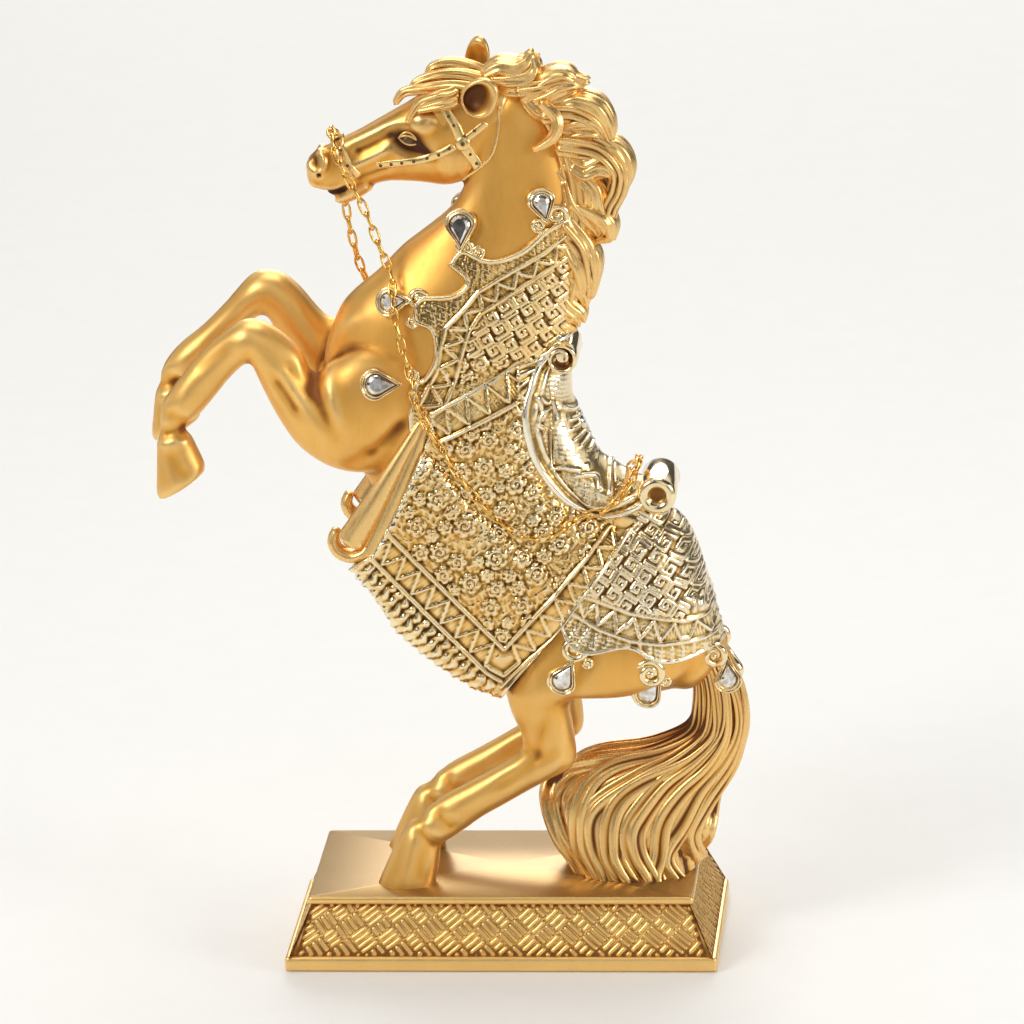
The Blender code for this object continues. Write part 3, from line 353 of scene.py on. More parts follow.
def outward(obj):
    """Faces of closed bodies turned to point outward."""
    bm = bmesh.new()
    bm.from_mesh(obj.data)
    bmesh.ops.recalc_face_normals(bm, faces=bm.faces[:])
    bm.to_mesh(obj.data)
    bm.free()
    return obj


def mesh_points(mesh):
    flat = np.empty(len(mesh.vertices) * 3)
    mesh.vertices.foreach_get("co", flat)
    return (flat.reshape(-1, 3) - (0, 0, PLINTH_TOP)) / MM


def mesh_edges(mesh):
    flat = np.empty(len(mesh.edges) * 2, dtype=np.int64)
    mesh.edges.foreach_get("vertices", flat)
    return flat.reshape(-1, 2)


def face_edges(faces):
    """Edges of a quad mesh, each once."""
    pairs = np.vstack([faces[:, [0, 1]], faces[:, [1, 2]], faces[:, [2, 3]], faces[:, [3, 0]]])
    pairs.sort(axis=1)
    return np.unique(pairs, axis=0)


def averaged(values, edges, passes, pull=1.0):
    """Values on points, smoothed toward their neighbours."""
    count = len(values)
    weight = np.maximum(np.bincount(edges.ravel(), minlength=count), 1)[:, None]
    for _ in range(passes):
        total = np.empty_like(values)
        for k in range(values.shape[1]):
            total[:, k] = np.bincount(edges[:, 0], values[edges[:, 1], k], count)
            total[:, k] += np.bincount(edges[:, 1], values[edges[:, 0], k], count)
        values = values * (1 - pull) + total / weight * pull
    return values


def quad_normals(points, faces):
    """Point normals of a quad mesh."""
    a, b, c, d = (points[faces[:, k]] for k in range(4))
    flat = np.cross(c - a, d - b)
    normals = np.zeros_like(points)
    for k in range(4):
        for axis in range(3):
            normals[:, axis] += np.bincount(faces[:, k], flat[:, axis], len(points))
    return unit(normals)


def fused_skin(name, chunks, voxel, passes):
    """Overlapping bodies turned into one even skin of quads."""
    points, faces = joined(chunks)
    obj = outward(raw_object(name, points, faces))
    mod = obj.modifiers.new("skin", "REMESH")
    mod.mode = "VOXEL"
    mod.voxel_size = voxel * MM
    mesh = bpy.data.meshes.new_from_object(obj.evaluated_get(bpy.context.evaluated_depsgraph_get()))
    bpy.data.objects.remove(obj, do_unlink=True)
    flat = np.empty(len(mesh.loops), dtype=np.int64)
    mesh.loops.foreach_get("vertex_index", flat)
    quads = flat.reshape(-1, 4)
    skin = averaged(mesh_points(mesh), mesh_edges(mesh), passes, 0.5)
    bpy.data.meshes.remove(mesh)
    return skin, quads


def kept(points, faces, keep):
    """The part of a mesh whose points are all kept."""
    faces = faces[keep[faces].all(axis=1)]
    used = np.unique(faces)
    index = np.full(len(points), -1)
    index[used] = np.arange(len(used))
    return used, index[faces]


def line_distance(spots, line, closed=False):
    """Distance of 2-D spots from a line and how far along it the nearest place is."""
    line = np.array(line, dtype=float)
    if closed:
        line = np.vstack([line, line[:1]])
    best = np.full(len(spots), 1e9)
    place = np.zeros(len(spots))
    walked = 0.0
    for a, b in zip(line[:-1], line[1:]):
        run = b - a
        length = np.hypot(*run)
        t = np.clip(((spots - a) @ run) / max(length * length, 1e-9), 0, 1)
        gap = np.hypot(*(spots - a - t[:, None] * run).T)
        nearer = gap < best
        best[nearer] = gap[nearer]
        place[nearer] = walked + t[nearer] * length
        walked += length
    return best, place


def inside(spots, outline):
    """Which 2-D spots lie inside a closed outline."""
    x, z = spots[:, 0], spots[:, 1]
    odd = np.zeros(len(spots), dtype=bool)
    count = len(outline)
    for k in range(count):
        (x1, z1), (x2, z2) = outline[k], outline[(k + 1) % count]
        if z1 == z2:
            continue
        crossing = ((z1 > z) != (z2 > z)) & (x < (x2 - x1) * (z - z1) / (z2 - z1) + x1)
        odd ^= crossing
    return odd


def depth_inside(spots, outline):
    """Distance inside an outline, negative outside it."""
    gap, _ = line_distance(spots, outline, True)
    return np.where(inside(spots, outline), gap, -gap)


def stroke(points, normals, path, width, depth, side=0):
    """A soft groove or ridge pressed along a side-view path."""
    path = smooth_rows(path, 4)
    low, high = path.min(0) - 3 * width, path.max(0) + 3 * width
    spots = points[:, [0, 2]]
    near = ((spots > low) & (spots < high)).all(axis=1)
    if side:
        near &= points[:, 1] * side > 0
    chosen = np.flatnonzero(near)
    gap, place = line_distance(spots[chosen], path)
    total = np.hypot(*np.diff(path, axis=0).T).sum()
    fade = soft_step(place, -0.01, total * 0.2) * soft_step(total - place, -0.01, total * 0.2)
    fade = 0.25 + 0.75 * fade
    points[chosen] += normals[chosen] * (depth * np.exp(-(gap / width) ** 2) * fade)[:, None]


# Soft grooves and ridges of the body: side-view path, width, depth and side.
BODY_STROKES = [
    ([(-45.5, 141), (-49.5, 150), (-52.2, 158), (-52.0, 166.4), (-48.0, 173.2), (-41, 178)], 2.4, -1.3, -1),
    ([(-43.0, 141), (-46.5, 152), (-47.5, 164), (-43.5, 171), (-37, 175.5)], 2.2, 0.7, -1),
    ([(-60.5, 163.5), (-56.0, 157.5), (-51.0, 151.5)], 1.8, -1.0, -1),
    ([(-64.0, 159.5), (-60.0, 153.5), (-56.0, 147.0)], 1.8, -1.1, -1),
    ([(-62.5, 163.0), (-58.0, 155.5), (-53.5, 149.0)], 1.8, 0.5, -1),
    ([(-37.0, 132.0), (-31.0, 139.0), (-24.0, 146.0)], 1.8, -0.9, 0),
    ([(-34.0, 128.5), (-27.5, 135.0), (-21.0, 142.0)], 1.8, 0.6, 0),
    ([(-44.0, 131.0), (-38.5, 133.5), (-35.0, 138.0)], 2.4, -0.8, 0),
    ([(-26.0, 162.0), (-36.0, 165.5), (-44.0, 165.0)], 1.8, -0.35, 0),
    ([(-88.0, 159.0), (-82.0, 164.0), (-75.0, 168.5)], 2.0, -0.4, 0),
    ([(-97.0, 147.5), (-92.5, 145.0), (-89.0, 142.0)], 1.8, -0.9, -1),
    ([(-98.6, 139.6), (-94.5, 141.6), (-90.0, 141.0)], 1.8, -1.0, -1),
    ([(-99.4, 137.0), (-94.5, 138.6), (-89.6, 138.4)], 1.8, 0.6, -1),
    ([(-95.5, 136.0), (-93.0, 130.0), (-89.0, 127.6)], 1.8, -0.7, -1),
    ([(-101.0, 152.5), (-97.0, 150.0), (-94.0, 147.0)], 1.8, -0.9, 1),
    ([(-102.4, 147.4), (-98.5, 149.0), (-94.6, 148.2)], 1.8, -1.0, 1),
    ([(-103.0, 144.4), (-98.5, 146.4), (-93.4, 146.2)], 1.8, 0.6, 1),
    ([(7.0, 44.5), (13.0, 41.0), (19.5, 43.5)], 2.0, -0.6, 0),
    ([(15.5, 56.0), (13.0, 48.0), (11.0, 40.0), (4.0, 34.5), (-4.0, 29.5)], 1.8, -0.8, 0),
    ([(19.5, 52.0), (19.0, 44.0), (15.5, 36.5), (8.0, 31.0)], 1.8, 0.5, 0),
    ([(-20.5, 24.5), (-17.0, 20.6), (-13.2, 17.0)], 1.8, -1.0, 0),
    ([(-23.8, 20.6), (-20.6, 17.0), (-17.2, 13.6)], 1.8, 0.8, 0),
    ([(-25.6, 19.0), (-22.0, 15.0), (-18.4, 12.0)], 1.8, -0.9, 0),
    ([(-22.4, 14.0), (-24.2, 8.0), (-24.6, 1.0)], 1.8, -0.7, 0),
    ([(8.0, 80.0), (5.0, 70.0), (8.0, 60.0)], 3.0, -0.5, 0),
    ([(30.0, 76.0), (24.0, 66.0), (22.0, 57.5)], 2.2, -0.6, 0),
]


# The tail as cross-sections from its root to the plinth: inner contour point,
# outer contour point, middle plane, half width across.
TAIL_FLOW = [
    (53, 74, 65, 74, 0, 5.5), (57.6, 62, 69.6, 63, 0, 6.6), (58.2, 52, 72.6, 54, 0, 7.4),
    (55.5, 43, 73, 44, 0, 8.4), (44, 37.0, 70, 34, 0, 9.6), (30, 34.2, 64, 24, 0, 11),
    (19.5, 30, 60, 14.5, 0, 12.6), (14.4, 23, 58, 8, 0, 14), (15, 12.5, 57.5, 3, 0, 15.2),
    (19, 5, 58, -1, 0, 16.4), (23, -3, 60, -5, 0, 17.4),
]

# Lines traced on the cloths, as (x, z) of the side view.
BLANKET_INNER = [(-33.5, 114.5), (-14.3, 94.1), (2.8, 75.9), (14.5, 88.4), (26.1, 100.8), (34, 110)]
BLANKET_OUTER = [(-40.5, 109), (-37.0, 105.3), (-19.9, 86.9), (-2.5, 68.6), (1.6, 66.0)]
BLANKET_REAR = [(1.6, 64.5), (16.0, 78.2), (29.4, 94.0), (42.0, 110.5)]
BLANKET_FIELD = BLANKET_INNER + [(50, 130), (40, 176), (4.4, 148.2), (-10.3, 140.9), (-16.5, 138)]
BLANKET_BAND = BLANKET_OUTER + [(16.0, 78.2), (29.4, 94.0), (44.0, 112), (50, 118), (46, 150), (-10, 150)]
FRONT_BAND_HIGH = [(-18.5, 146.8), (-3.9, 155.2), (7.5, 161.2)]
FRONT_BAND_LOW = [(-14.5, 139.2), (-2.8, 144.6), (7.5, 149.8)]
ROSES = [
    (-22.1, 113.9, 3.0), (-15.5, 106.2, 3.0), (-6.8, 96.5, 3.1), (-1.0, 89.0, 2.8), (8.6, 89.6, 3.0),
    (12.7, 98.6, 3.1), (-15.9, 122.0, 3.0), (-8.0, 114.0, 3.3), (-1.9, 131.5, 2.8), (-8.6, 130.0, 2.9),
    (6.8, 125.6, 2.9), (3.6, 117.9, 3.0), (1.0, 104.0, 3.3), (19.5, 107.0, 3.0), (-0.5, 139.5, 2.6),
]
NECK_OUT = [(-20.5, 150), (-15.2, 160), (-14.0, 166.4), (-12.3, 172.9), (-6.5, 178.6), (-2.6, 183.3),
            (5.2, 187.9), (16, 193.5), (22, 198)]
NECK_IN = [(-14, 147), (-9.6, 158), (-8.2, 163.9), (-5.8, 171.5), (-2.1, 177.0), (6.6, 182.4), (19.8, 190.3),
           (25, 193)]
NECK_LOW = [(-17.1, 147.4), (-8.7, 151.1), (0.3, 155.6), (7.8, 161.7)]
CRUPPER_COVER = [
    (60, 130), (33, 120), (20, 98), (18.5, 85.5), (20.5, 78.5), (24, 74.5), (29, 73.4), (39.2, 75.0),
    (46.0, 71.3),
    (51.9, 69.7), (60.6, 71.3), (72, 75.0), (78, 100),
]
CRUPPER_HIGH = [(14, 94.0), (18, 93.5), (29.0, 90.7), (40.2, 86.0), (55.6, 82.5), (66.5, 83.7)]
CRUPPER_LOW = [(16, 90.0), (22, 87.0), (31.1, 81.3), (39.9, 77.9), (48.0, 76.3), (60.8, 75.9), (70, 77.2)]
BLANKET_FACE = [
    (-18.0, 141.0), (-17.5, 147.8), (6.1, 160.2), (30, 168), (46, 118), (42.9, 109.6), (26.7, 90.4),
    (13.1, 73.6),
    (1.6, 60.6), (-5.0, 63.6), (-16.8, 71.4), (-28.4, 82.4), (-35.5, 93.3), (-41.4, 101.2), (-35.4, 105.6),
    (-27.0, 121.0),
]
SADDLE_CURVES = [
    [(11.9, 151.1), (14.4, 148.4), (17.4, 147.0), (20.4, 144.3), (23.4, 142.0)],
    [(12.1, 150.6), (13.0, 146.6), (12.3, 143.4), (14.3, 145.7)],
    [(13.3, 141.2), (12.1, 143.0), (13.0, 145.7), (15.7, 146.5), (18.2, 145.6)],
    [(16.1, 148.3), (17.3, 144.3), (17.7, 142.0)],
    [(21.4, 149.2), (23.9, 145.6), (26.4, 141.1), (28.9, 137.5)],
    [(28.5, 138.4), (24.6, 139.7), (21.2, 141.1)],
    [(28.5, 137.9), (25.0, 138.4), (21.5, 138.4)],
    [(28.5, 137.3), (25.4, 136.6), (22.3, 135.2)],
    [(28.7, 136.6), (26.2, 134.8), (24.0, 133.0)],
    [(28.9, 136.1), (27.5, 133.4), (26.1, 131.2)],
    [(15.9, 139.8), (16.0, 134.4), (16.1, 128.5), (20.8, 128.5), (24.3, 126.7)],
    [(23.8, 125.7), (26.9, 124.8), (29.4, 123.5), (30.7, 120.7)],
    [(29.7, 133.0), (33.1, 129.3), (37.4, 127.1)],
    [(30.5, 129.8), (32.1, 126.2), (33.3, 121.6), (33.7, 118.9)],
    [(32.2, 129.3), (34.7, 125.7), (36.8, 123.4)],
]

# The saddle's seat below its cover: upper and lower contour, middle, half width.
SEAT_FORM = [
    (17.5, 162, 8, 152, 0, 7), (20.2, 156, 8, 146, 0, 8.5), (20.6, 147, 8, 138, 0, 10),
    (24.2, 136.6, 12, 124, 0, 11.5),
    (29.2, 127.6, 20, 112, 0, 12), (36.6, 122.4, 30, 105, 0, 12), (43.4, 118.6, 40, 103, 0, 10.5),
    (48.0, 115.6, 48, 102, 0, 9),
]

# Locks that follow the flow of the mane in the side view, from the top down.
MANE_FLOW = [
    [(0.0, 245.8), (4.4, 248.0), (9.1, 247.6), (12.4, 249.6), (13.6, 252.2)],
    [(2.7, 244.6), (7.5, 244.6), (12.2, 245.4), (14.5, 247.8), (14.3, 251.0)],
    [(3.8, 241.7), (9.0, 241.7), (13.8, 243.2), (15.2, 245.9)],
    [(11.2, 238.4), (15.3, 241.6), (19.3, 244.6), (23.3, 245.6), (26.4, 244.0), (30.0, 243.6)],
    [(14.4, 238.4), (18.4, 240.0), (22.4, 242.2), (26.3, 242.8), (28.7, 242.3)],
    [(16.7, 236.8), (20.7, 238.4), (25.5, 239.7), (28.2, 239.5)],
    [(12.0, 238.4), (15.9, 235.4), (20.6, 235.3), (22.6, 236.7)],
    [(22.2, 236.3), (26.2, 238.0), (31.4, 236.6), (34.2, 234.0), (36.4, 230.0), (37.0, 225.3)],
    [(23.0, 233.5), (27.7, 234.9), (32.1, 234.2), (34.9, 230.4), (36.2, 224.9)],
    [(22.9, 230.3), (27.6, 231.4), (32.0, 231.4), (34.6, 228.0), (35.9, 224.3)],
    [(23.6, 227.0), (28.3, 228.2), (32.3, 228.2), (34.6, 225.1)],
    [(24.3, 223.8), (28.2, 221.9), (33.0, 223.5), (37.4, 223.7), (40.4, 220.2), (41.3, 216.2), (39.6, 211.6),
     (36.2, 208.5)],
    [(24.6, 221.4), (28.9, 219.1), (33.7, 221.5), (37.1, 221.1), (39.0, 217.8), (38.6, 214.0), (36.0, 209.3)],
    [(24.9, 218.1), (28.8, 215.9), (32.8, 217.6), (36.2, 216.8), (37.2, 214.4), (36.4, 210.9)],
    [(25.6, 214.9), (29.5, 212.4), (30.6, 208.3), (32.5, 203.8), (34.6, 199.5)],
    [(28.0, 215.7), (31.9, 212.0), (33.0, 207.1), (34.4, 202.6), (36.4, 199.5)],
    [(26.3, 206.5), (31.4, 204.2), (34.9, 201.2), (35.6, 197.3), (31.8, 195.4)],
    [(25.3, 196.7), (29.6, 191.8), (30.8, 186.6), (30.3, 180.2)],
    [(24.3, 200.7), (28.6, 194.8), (29.6, 188.6), (28.6, 182.2)],
    [(21.7, 193.3), (25.9, 188.8), (27.2, 182.9), (27.6, 178.4)],
    [(18.7, 188.9), (21.8, 184.4), (22.6, 180.0), (22.8, 175.7)],
    [(15.2, 183.0), (19.0, 179.6), (21.4, 175.0), (24.8, 172.0), (25.8, 169.8)],
    [(13.2, 176.0), (16.8, 172.6), (21.1, 170.0), (24.8, 168.4)],
    [(23.0, 214.0), (24.6, 208.0), (28.0, 203.0), (31.5, 199.0), (33.0, 196.0)],
    [(22.5, 208.0), (24.0, 201.0), (27.6, 195.5), (30.6, 190.5), (31.0, 186.0)],
    [(21.5, 201.0), (23.0, 194.0), (26.0, 188.0), (29.2, 184.0), (29.6, 180.0)],
    [(19.5, 195.0), (21.6, 188.0), (24.4, 182.6), (27.4, 178.6), (28.0, 175.0)],
    [(17.5, 188.0), (19.6, 181.6), (22.6, 176.4), (26.4, 173.4), (27.4, 171.0)],
]
FORELOCK = [
    [(1.6, 1.0, 245.0), (-4.0, 1.0, 247.6), (-10.0, 0.8, 249.0), (-15.4, 0.4, 248.4), (-17.4, 0.2, 245.6)],
    [(0.6, -2.4, 244.4), (-7.0, -2.6, 246.2), (-14.0, -2.6, 246.4), (-20.0, -2.4, 244.6),
     (-22.0, -2.4, 241.4)],
    [(0.6, 3.4, 244.0), (-7.0, 3.6, 245.6), (-14.0, 3.6, 245.2), (-20.0, 3.0, 243.0), (-22.6, 2.4, 240.0)],
    [(-1.0, -4.8, 242.6), (-9.0, -5.0, 244.0), (-17.0, -4.8, 243.2), (-23.6, -4.0, 241.6),
     (-26.4, -3.6, 238.2)],
    [(-8.4, -6.6, 242.6), (-10.4, -7.7, 242.0), (-13.6, -8.2, 241.2), (-19.0, -7.8, 238.6),
     (-22.6, -7.2, 233.4)],
    [(-8.8, -7.4, 240.4), (-10.4, -8.4, 239.4), (-14.0, -8.6, 238.4), (-19.4, -8.2, 237.4)],
    [(-1.0, 6.8, 241.4), (-7.0, 8.0, 241.4), (-13.0, 8.2, 240.8), (-19.0, 7.8, 238.4), (-22.6, 7.2, 233.4)],
]


def body_chunks():
    return [
        section_body(TORSO, sides=56, square=2.2),
        section_body(NECK, sides=48),
        section_body(NEAR_FORELEG, dome=0.15),
        section_body(FAR_FORELEG, dome=0.15),
        section_body(HIND_LEG, dome=0.15),
        section_body(HIND_LEG, mirror=-1, dome=0.15),
        section_body(HEAD[:3], sides=40, square=2.3),
    ]


def cloth_mask(points, margin):
    """Points well inside any cloth's outline, where the body's skin never shows."""
    spots = points[:, [0, 2]]
    hidden = np.zeros(len(points), dtype=bool)
    for outline in (NECK_CLOTH, BLANKET_FACE, SKIRT, CRUPPER):
        hidden |= depth_inside(spots, outline) > margin
    return hidden


def make_body():
    points, faces = fused_skin("skin", body_chunks(), SKIN_STEP, 6)
    normals = averaged(quad_normals(points, faces), face_edges(faces), 4)
    for path, width, depth, side in BODY_STROKES:
        stroke(points, normals, path, width, depth, side)
    points = averaged(points, face_edges(faces), 4, 0.5)
    inner = (np.abs(points[:, 1]) < 8) & (points[:, 2] < 100)
    points = hide_floor(points)
    used, faces = kept(points, faces, ~cloth_mask(points, 4.0) | inner)
    return points[used], faces


def hide_floor(points):
    """Points below the plinth's top lifted to just under it."""
    points[:, 2] = np.maximum(points[:, 2], -0.4)
    return points


def dent(points, normals, spot, radii, depth, side, lean=0.0):
    """A soft oval hollow or swelling pressed in from one side."""
    dx, dz = points[:, 0] - spot[0], points[:, 2] - spot[1]
    c, s = math.cos(lean), math.sin(lean)
    u, v = (dx * c + dz * s) / radii[0], (dz * c - dx * s) / radii[1]
    share = np.exp(-(u * u + v * v) ** 1.4) * (points[:, 1] * side > 0)
    points += normals * (depth * share)[:, None]
    return share


HEAD_STROKES = [
    ([(-28, 225.0), (-34, 221.6), (-41, 218.6)], 1.3, 0.45),
    ([(-26, 230.2), (-32.6, 226.4), (-40.2, 222.8)], 1.7, -0.6),
    ([(-24, 233.6), (-32, 230.2), (-40, 226.4), (-46, 224.4)], 1.3, 0.25),
    ([(-28, 219.8), (-34, 217.0), (-40, 215.0)], 1.4, -0.35),
    ([(-54.5, 211.9), (-49.1, 210.9), (-44.0, 211.3), (-41.0, 213.0)], 0.75, -1.7),
    ([(-53.5, 213.4), (-48.0, 212.5), (-43.2, 213.0)], 0.7, 0.4),
    ([(-29.5, 214.4), (-22, 214.8), (-14, 213.2), (-8, 214.8), (-4.5, 218)], 1.2, 0.35),
    ([(-19.5, 235.5), (-14.5, 236.0), (-11.5, 232.0)], 1.0, -0.4),
    ([(-50.5, 224.4), (-48.0, 222.0), (-48.4, 218.6), (-51.0, 217.4)], 0.6, 0.55),
]


def make_head():
    chunks = [section_body(HEAD, sides=60, steps=8, square=2.3, dome=0.6),
              lock_body(CHIN, strands=1, groove=0)]
    for side in (1, -1):
        chunks.append(ball_body((-17.4, 6.6 * side, 232.2), (5.2, 3.1, 4.5)))
        chunks.append(ball_body((-10.5, 3.0 * side, 223.0), (9.0, 6.5, 9.0)))
        chunks.append(ball_body((-48.8, 2.6 * side, 218.6), (5.0, 3.6, 5.6)))
    points, faces = fused_skin("head", chunks, HEAD_STEP, 14)
    normals = averaged(quad_normals(points, faces), face_edges(faces), 4)
    # Painted shade for the eye hollows, the nostrils and the mouth line, kept per point.
    darkening = np.zeros(len(points))
    for path, width, depth in HEAD_STROKES:
        stroke(points, normals, path, width, depth)
    for side in (1, -1):
        darkening += 1.6 * dent(points, normals, (-22.8, 227.0), (5.6, 3.2), -1.6, side, -0.4)
        darkening += 0.9 * dent(points, normals, (-18.6, 224.6), (4.2, 1.3), -0.3, side, -0.35)
        darkening += 0.8 * dent(points, normals, (-51.3, 221.2), (1.7, 2.6), -1.1, side, 0.2)
        darkening += 1.2 * dent(points, normals, (-49.7, 216.6), (0.6, 0.6), -0.9, side)
        dent(points, normals, (-19.0, 222.6), (5.0, 1.6), -0.5, side, -0.2)
    spots = points[:, [0, 2]]
    gap, _ = line_distance(spots, [(-50.5, 210.9), (-46.5, 210.6), (-43.2, 211.3)])
    darkening += 1.3 * np.exp(-(gap / 1.1) ** 2)
    return points, faces, np.clip(darkening, 0, 1)


def surface_tree(points, faces):
    return BVHTree.FromPolygons(points.tolist(), np.asarray(faces).tolist())


def touch(tree, x, z, side, miss=0.0):
    """How far out the surface lies at a place of the side view."""
    hit = tree.ray_cast(Vector((x, side * 60, z)), Vector((0, -side, 0)))[0]
    return hit.y if hit else miss


def strap(tree, path, width, rise, side, steps=8):
    """A raised strip lying on a surface under a side-view path."""
    fine = smooth_rows(path, steps)
    along = unit(np.gradient(fine, axis=0))
    rows = []
    offsets = (-0.56, -0.5, -0.4, 0.0, 0.4, 0.5, 0.56)
    heights = (-0.6, rise * 0.5, rise, rise, rise, rise * 0.5, -0.6)
    for k, (spot, run) in enumerate(zip(fine, along)):
        sink = -0.7 if k in (0, len(fine) - 1) else 0.0
        row = []
        middle = touch(tree, *spot, side)
        for share, height in zip(offsets, heights):
            x, z = spot[0] - run[1] * share * width, spot[1] + run[0] * share * width
            y = touch(tree, x, z, side, middle)
            if abs(y - middle) > width * 0.8:
                y = middle
            row.append((x, y + side * (height + sink), z))
        rows.append(row[::side])
    return sheet_grid(rows)


BRIDLE = [
    ([(-12.6, 238.8), (-9.5, 234.0), (-8.1, 231.2), (-6.5, 226.7)], 2.9, 0.5),
    ([(-6.5, 226.7), (-3.4, 221.5), (-2.0, 218.6)], 3.1, 0.5),
    ([(-8.6, 226.2), (-14.3, 223.2), (-18.5, 221.8), (-23.8, 220.7), (-28.3, 220.1), (-32.6, 219.3)], 2.3,
     0.42),
    ([(-6.0, 227.6), (-2.7, 230.1), (0.8, 232.8)], 2.2, 0.42),
    ([(-44.4, 227.4), (-43.6, 224.8), (-42.2, 221.5), (-40.6, 218.4), (-38.2, 215.4)], 3.4, 0.5),
]
STUDS = [
    (-12.0, 237.2), (-10.4, 234.9), (-8.9, 232.3), (-5.9, 229.0), (-2.9, 230.6), (-4.4, 223.4), (-2.6, 220.4),
    (-10.4, 225.4), (-13.6, 223.5), (-17.2, 222.2), (-21.2, 221.2), (-24.8, 220.6), (-28.0, 220.1),
    (-31.2, 219.6),
    (-43.0, 224.0), (-41.0, 219.6),
]


def make_bridle(tree):
    chunks, studs = [], []
    for side in (1, -1):
        for path, width, rise in BRIDLE:
            chunks.append(strap(tree, path, width, rise, side))
        y = touch(tree, -6.4, 226.8, side)
        chunks.append(ball_body((-6.4, y + side * 0.2, 226.8), (2.3, 0.9, 2.3), 14, 28))
        studs.append(ball_body((-6.4, y + side * 0.95, 226.8), (0.75, 0.3, 0.75), 8, 14))
        rim = [(4.4, 237.4), (4.0, 230.8), (2.0, 223.4), (-2.0, 219.0), (-7.0, 215.0)]
        line = [(x, touch(tree, x, z, side, 8 * side) + 0.15 * side, z) for x, z in smooth_rows(rim, 4)]
        chunks.append(sweep(line, 0.55, (0, 1, 0), 1.0, 10))
        for x, z in STUDS:
            studs.append(ball_body((x, touch(tree, x, z, side) + 0.45 * side, z), (0.55, 0.28, 0.55), 6, 12))
    return joined(chunks), joined(studs)


def make_eyes(tree):
    """Eyeballs in their hollows, and the lids over them."""
    balls, lids = [], []
    for side in (1, -1):
        y = touch(tree, -22.8, 227.2, side)
        balls.append(ball_body((-22.8, y - side * 0.9, 227.3), (2.3, 1.9, 1.8), 14, 24))
        for bend, height in ((1.5, 0.75), (-1.2, 0.4), (2.6, 0.9)):
            path = []
            for share in np.linspace(-1, 1, 7):
                x = -22.6 + 3.1 * share
                z = 227.2 + bend * (1 - share * share) - 0.45 * share * 1.6
                path.append((x, y + side * (height - 0.5 * share * share), z))
            lids.append(sweep(path, 0.34, (0, 1, 0), 1.0, 8, taper=[0.5, 1, 1.1, 1, 0.5]))
    return joined(balls), joined(lids)


def near_ear(side):
    """The turned ear, seen into its cup: back, rim, and hollow inside the rim."""
    rings = []
    angle = 2 * np.pi * np.arange(40) / 40
    for share, depth, dx, dz in (
            (0.35, -3.4, 1.5, -0.5), (0.8, -2.6, 0.8, -0.2), (1.0, -1.0, 0.2, 0), (1.02, 0.3, 0, 0),
            (0.95, 1.1, 0, 0),
            (0.85, 1.3, -0.1, 0), (0.76, 0.9, -0.4, 0), (0.66, 0.0, -0.8, 0.1), (0.5, -1.0, -1.2, 0.2),
            (0.25, -1.7, -1.4, 0.3)):
        point = 1 + 0.3 * np.maximum(np.cos(angle - 0.85), 0) ** 3
        x = -1.4 + dx + 5.3 * share * point * np.cos(angle)
        z = 240.2 + dz + 5.6 * share * point * np.sin(angle)
        y = side * (10.0 + depth) + side * 0.2 * (x + 1.4)
        rings.append(np.stack([x, y, z], -1))
    return tube(rings)


def ear(base, tip, width, facing, cup=0.55):
    """A pointed ear: rounded back, hollow front with a rim round it."""
    base, tip = np.array(base, dtype=float), np.array(tip, dtype=float)
    facing = np.array(facing, dtype=float)
    along = unit(tip - base)
    front = unit(facing - along * (facing @ along))
    across = np.cross(along, front)
    angle = 2 * np.pi * np.arange(36) / 36
    rings = []
    for share in np.linspace(0.0, 1.0, 22):
        half = (width * (0.42 + 0.58 * math.sin(min(share * 1.9, 1.571)))
                * math.sqrt(max(1 - share ** 2.4, 0.002)))
        hollow = cup * half * math.sin(math.pi * min(share * 1.15, 1)) ** 0.7
        side = half * np.cos(angle)
        depth = half * 0.85 * np.sin(angle)
        depth = np.where(depth > 0, depth * 0.55 - hollow * (1 - (np.abs(side) / half) ** 3) * 1.35, depth)
        centre = base + (tip - base) * share
        rings.append(centre + across * side[:, None] + front * depth[:, None])
    return tube(rings, base, tip)


def make_ears():
    return joined([
        ear((-4.2, 6.0, 240.0), (-2.0, 7.4, 255.6), 5.0, (-0.45, -0.9, 0.1)),
        near_ear(-1),
    ])


def flow_lock(path, y, thick, wide, phase, strands=7, groove=0.12):
    """A flat lock following a side-view path, widest in its middle."""
    count = len(path)
    rows = []
    for k, (x, z) in enumerate(path):
        share = k / (count - 1)
        body = (0.55 + 0.9 * math.sin(math.pi * (0.12 + 0.72 * share))) * (1 - 0.62 * share ** 3)
        rows.append((x, y * (1 - 0.25 * share), z, thick * body, wide * body))
    return lock_body(rows, strands=strands, groove=groove, phase=phase, twist=0.5, sides=30, steps=7)


def make_mane():
    crest = [(x - 1.5, y, z, thick * 0.8, wide * 0.8) for x, y, z, thick, wide in MANE_CREST]
    chunks = [lock_body(crest, sides=50, strands=12, groove=0.08)]
    for k, rows in enumerate(MANE_LOCKS):
        chunks.append(lock_body(rows, sides=44, strands=9, groove=0.14, phase=k))
    for k, path in enumerate(MANE_FLOW):
        for side in (1, -1):
            chunks.append(flow_lock(path, side * (3.0 + 0.7 * math.sin(2.1 * k)), 2.2, 3.0, k + side))
    for mirror in (1, -1):
        chunks.append(lock_body(SIDE_LOCK, mirror, phase=0))
    for k, path in enumerate(FORELOCK):
        rows = []
        for i, (x, y, z) in enumerate(path):
            share = i / (len(path) - 1)
            body = 1 - 0.55 * share ** 2
            wave = 0.35 * math.sin(5 * share + k)
            rows.append((x, y, z + wave - 0.5, 1.9 * body, 2.2 * body))
        chunks.append(lock_body(rows, strands=6, groove=0.2, phase=k, sides=30, steps=9))
    return joined(chunks)


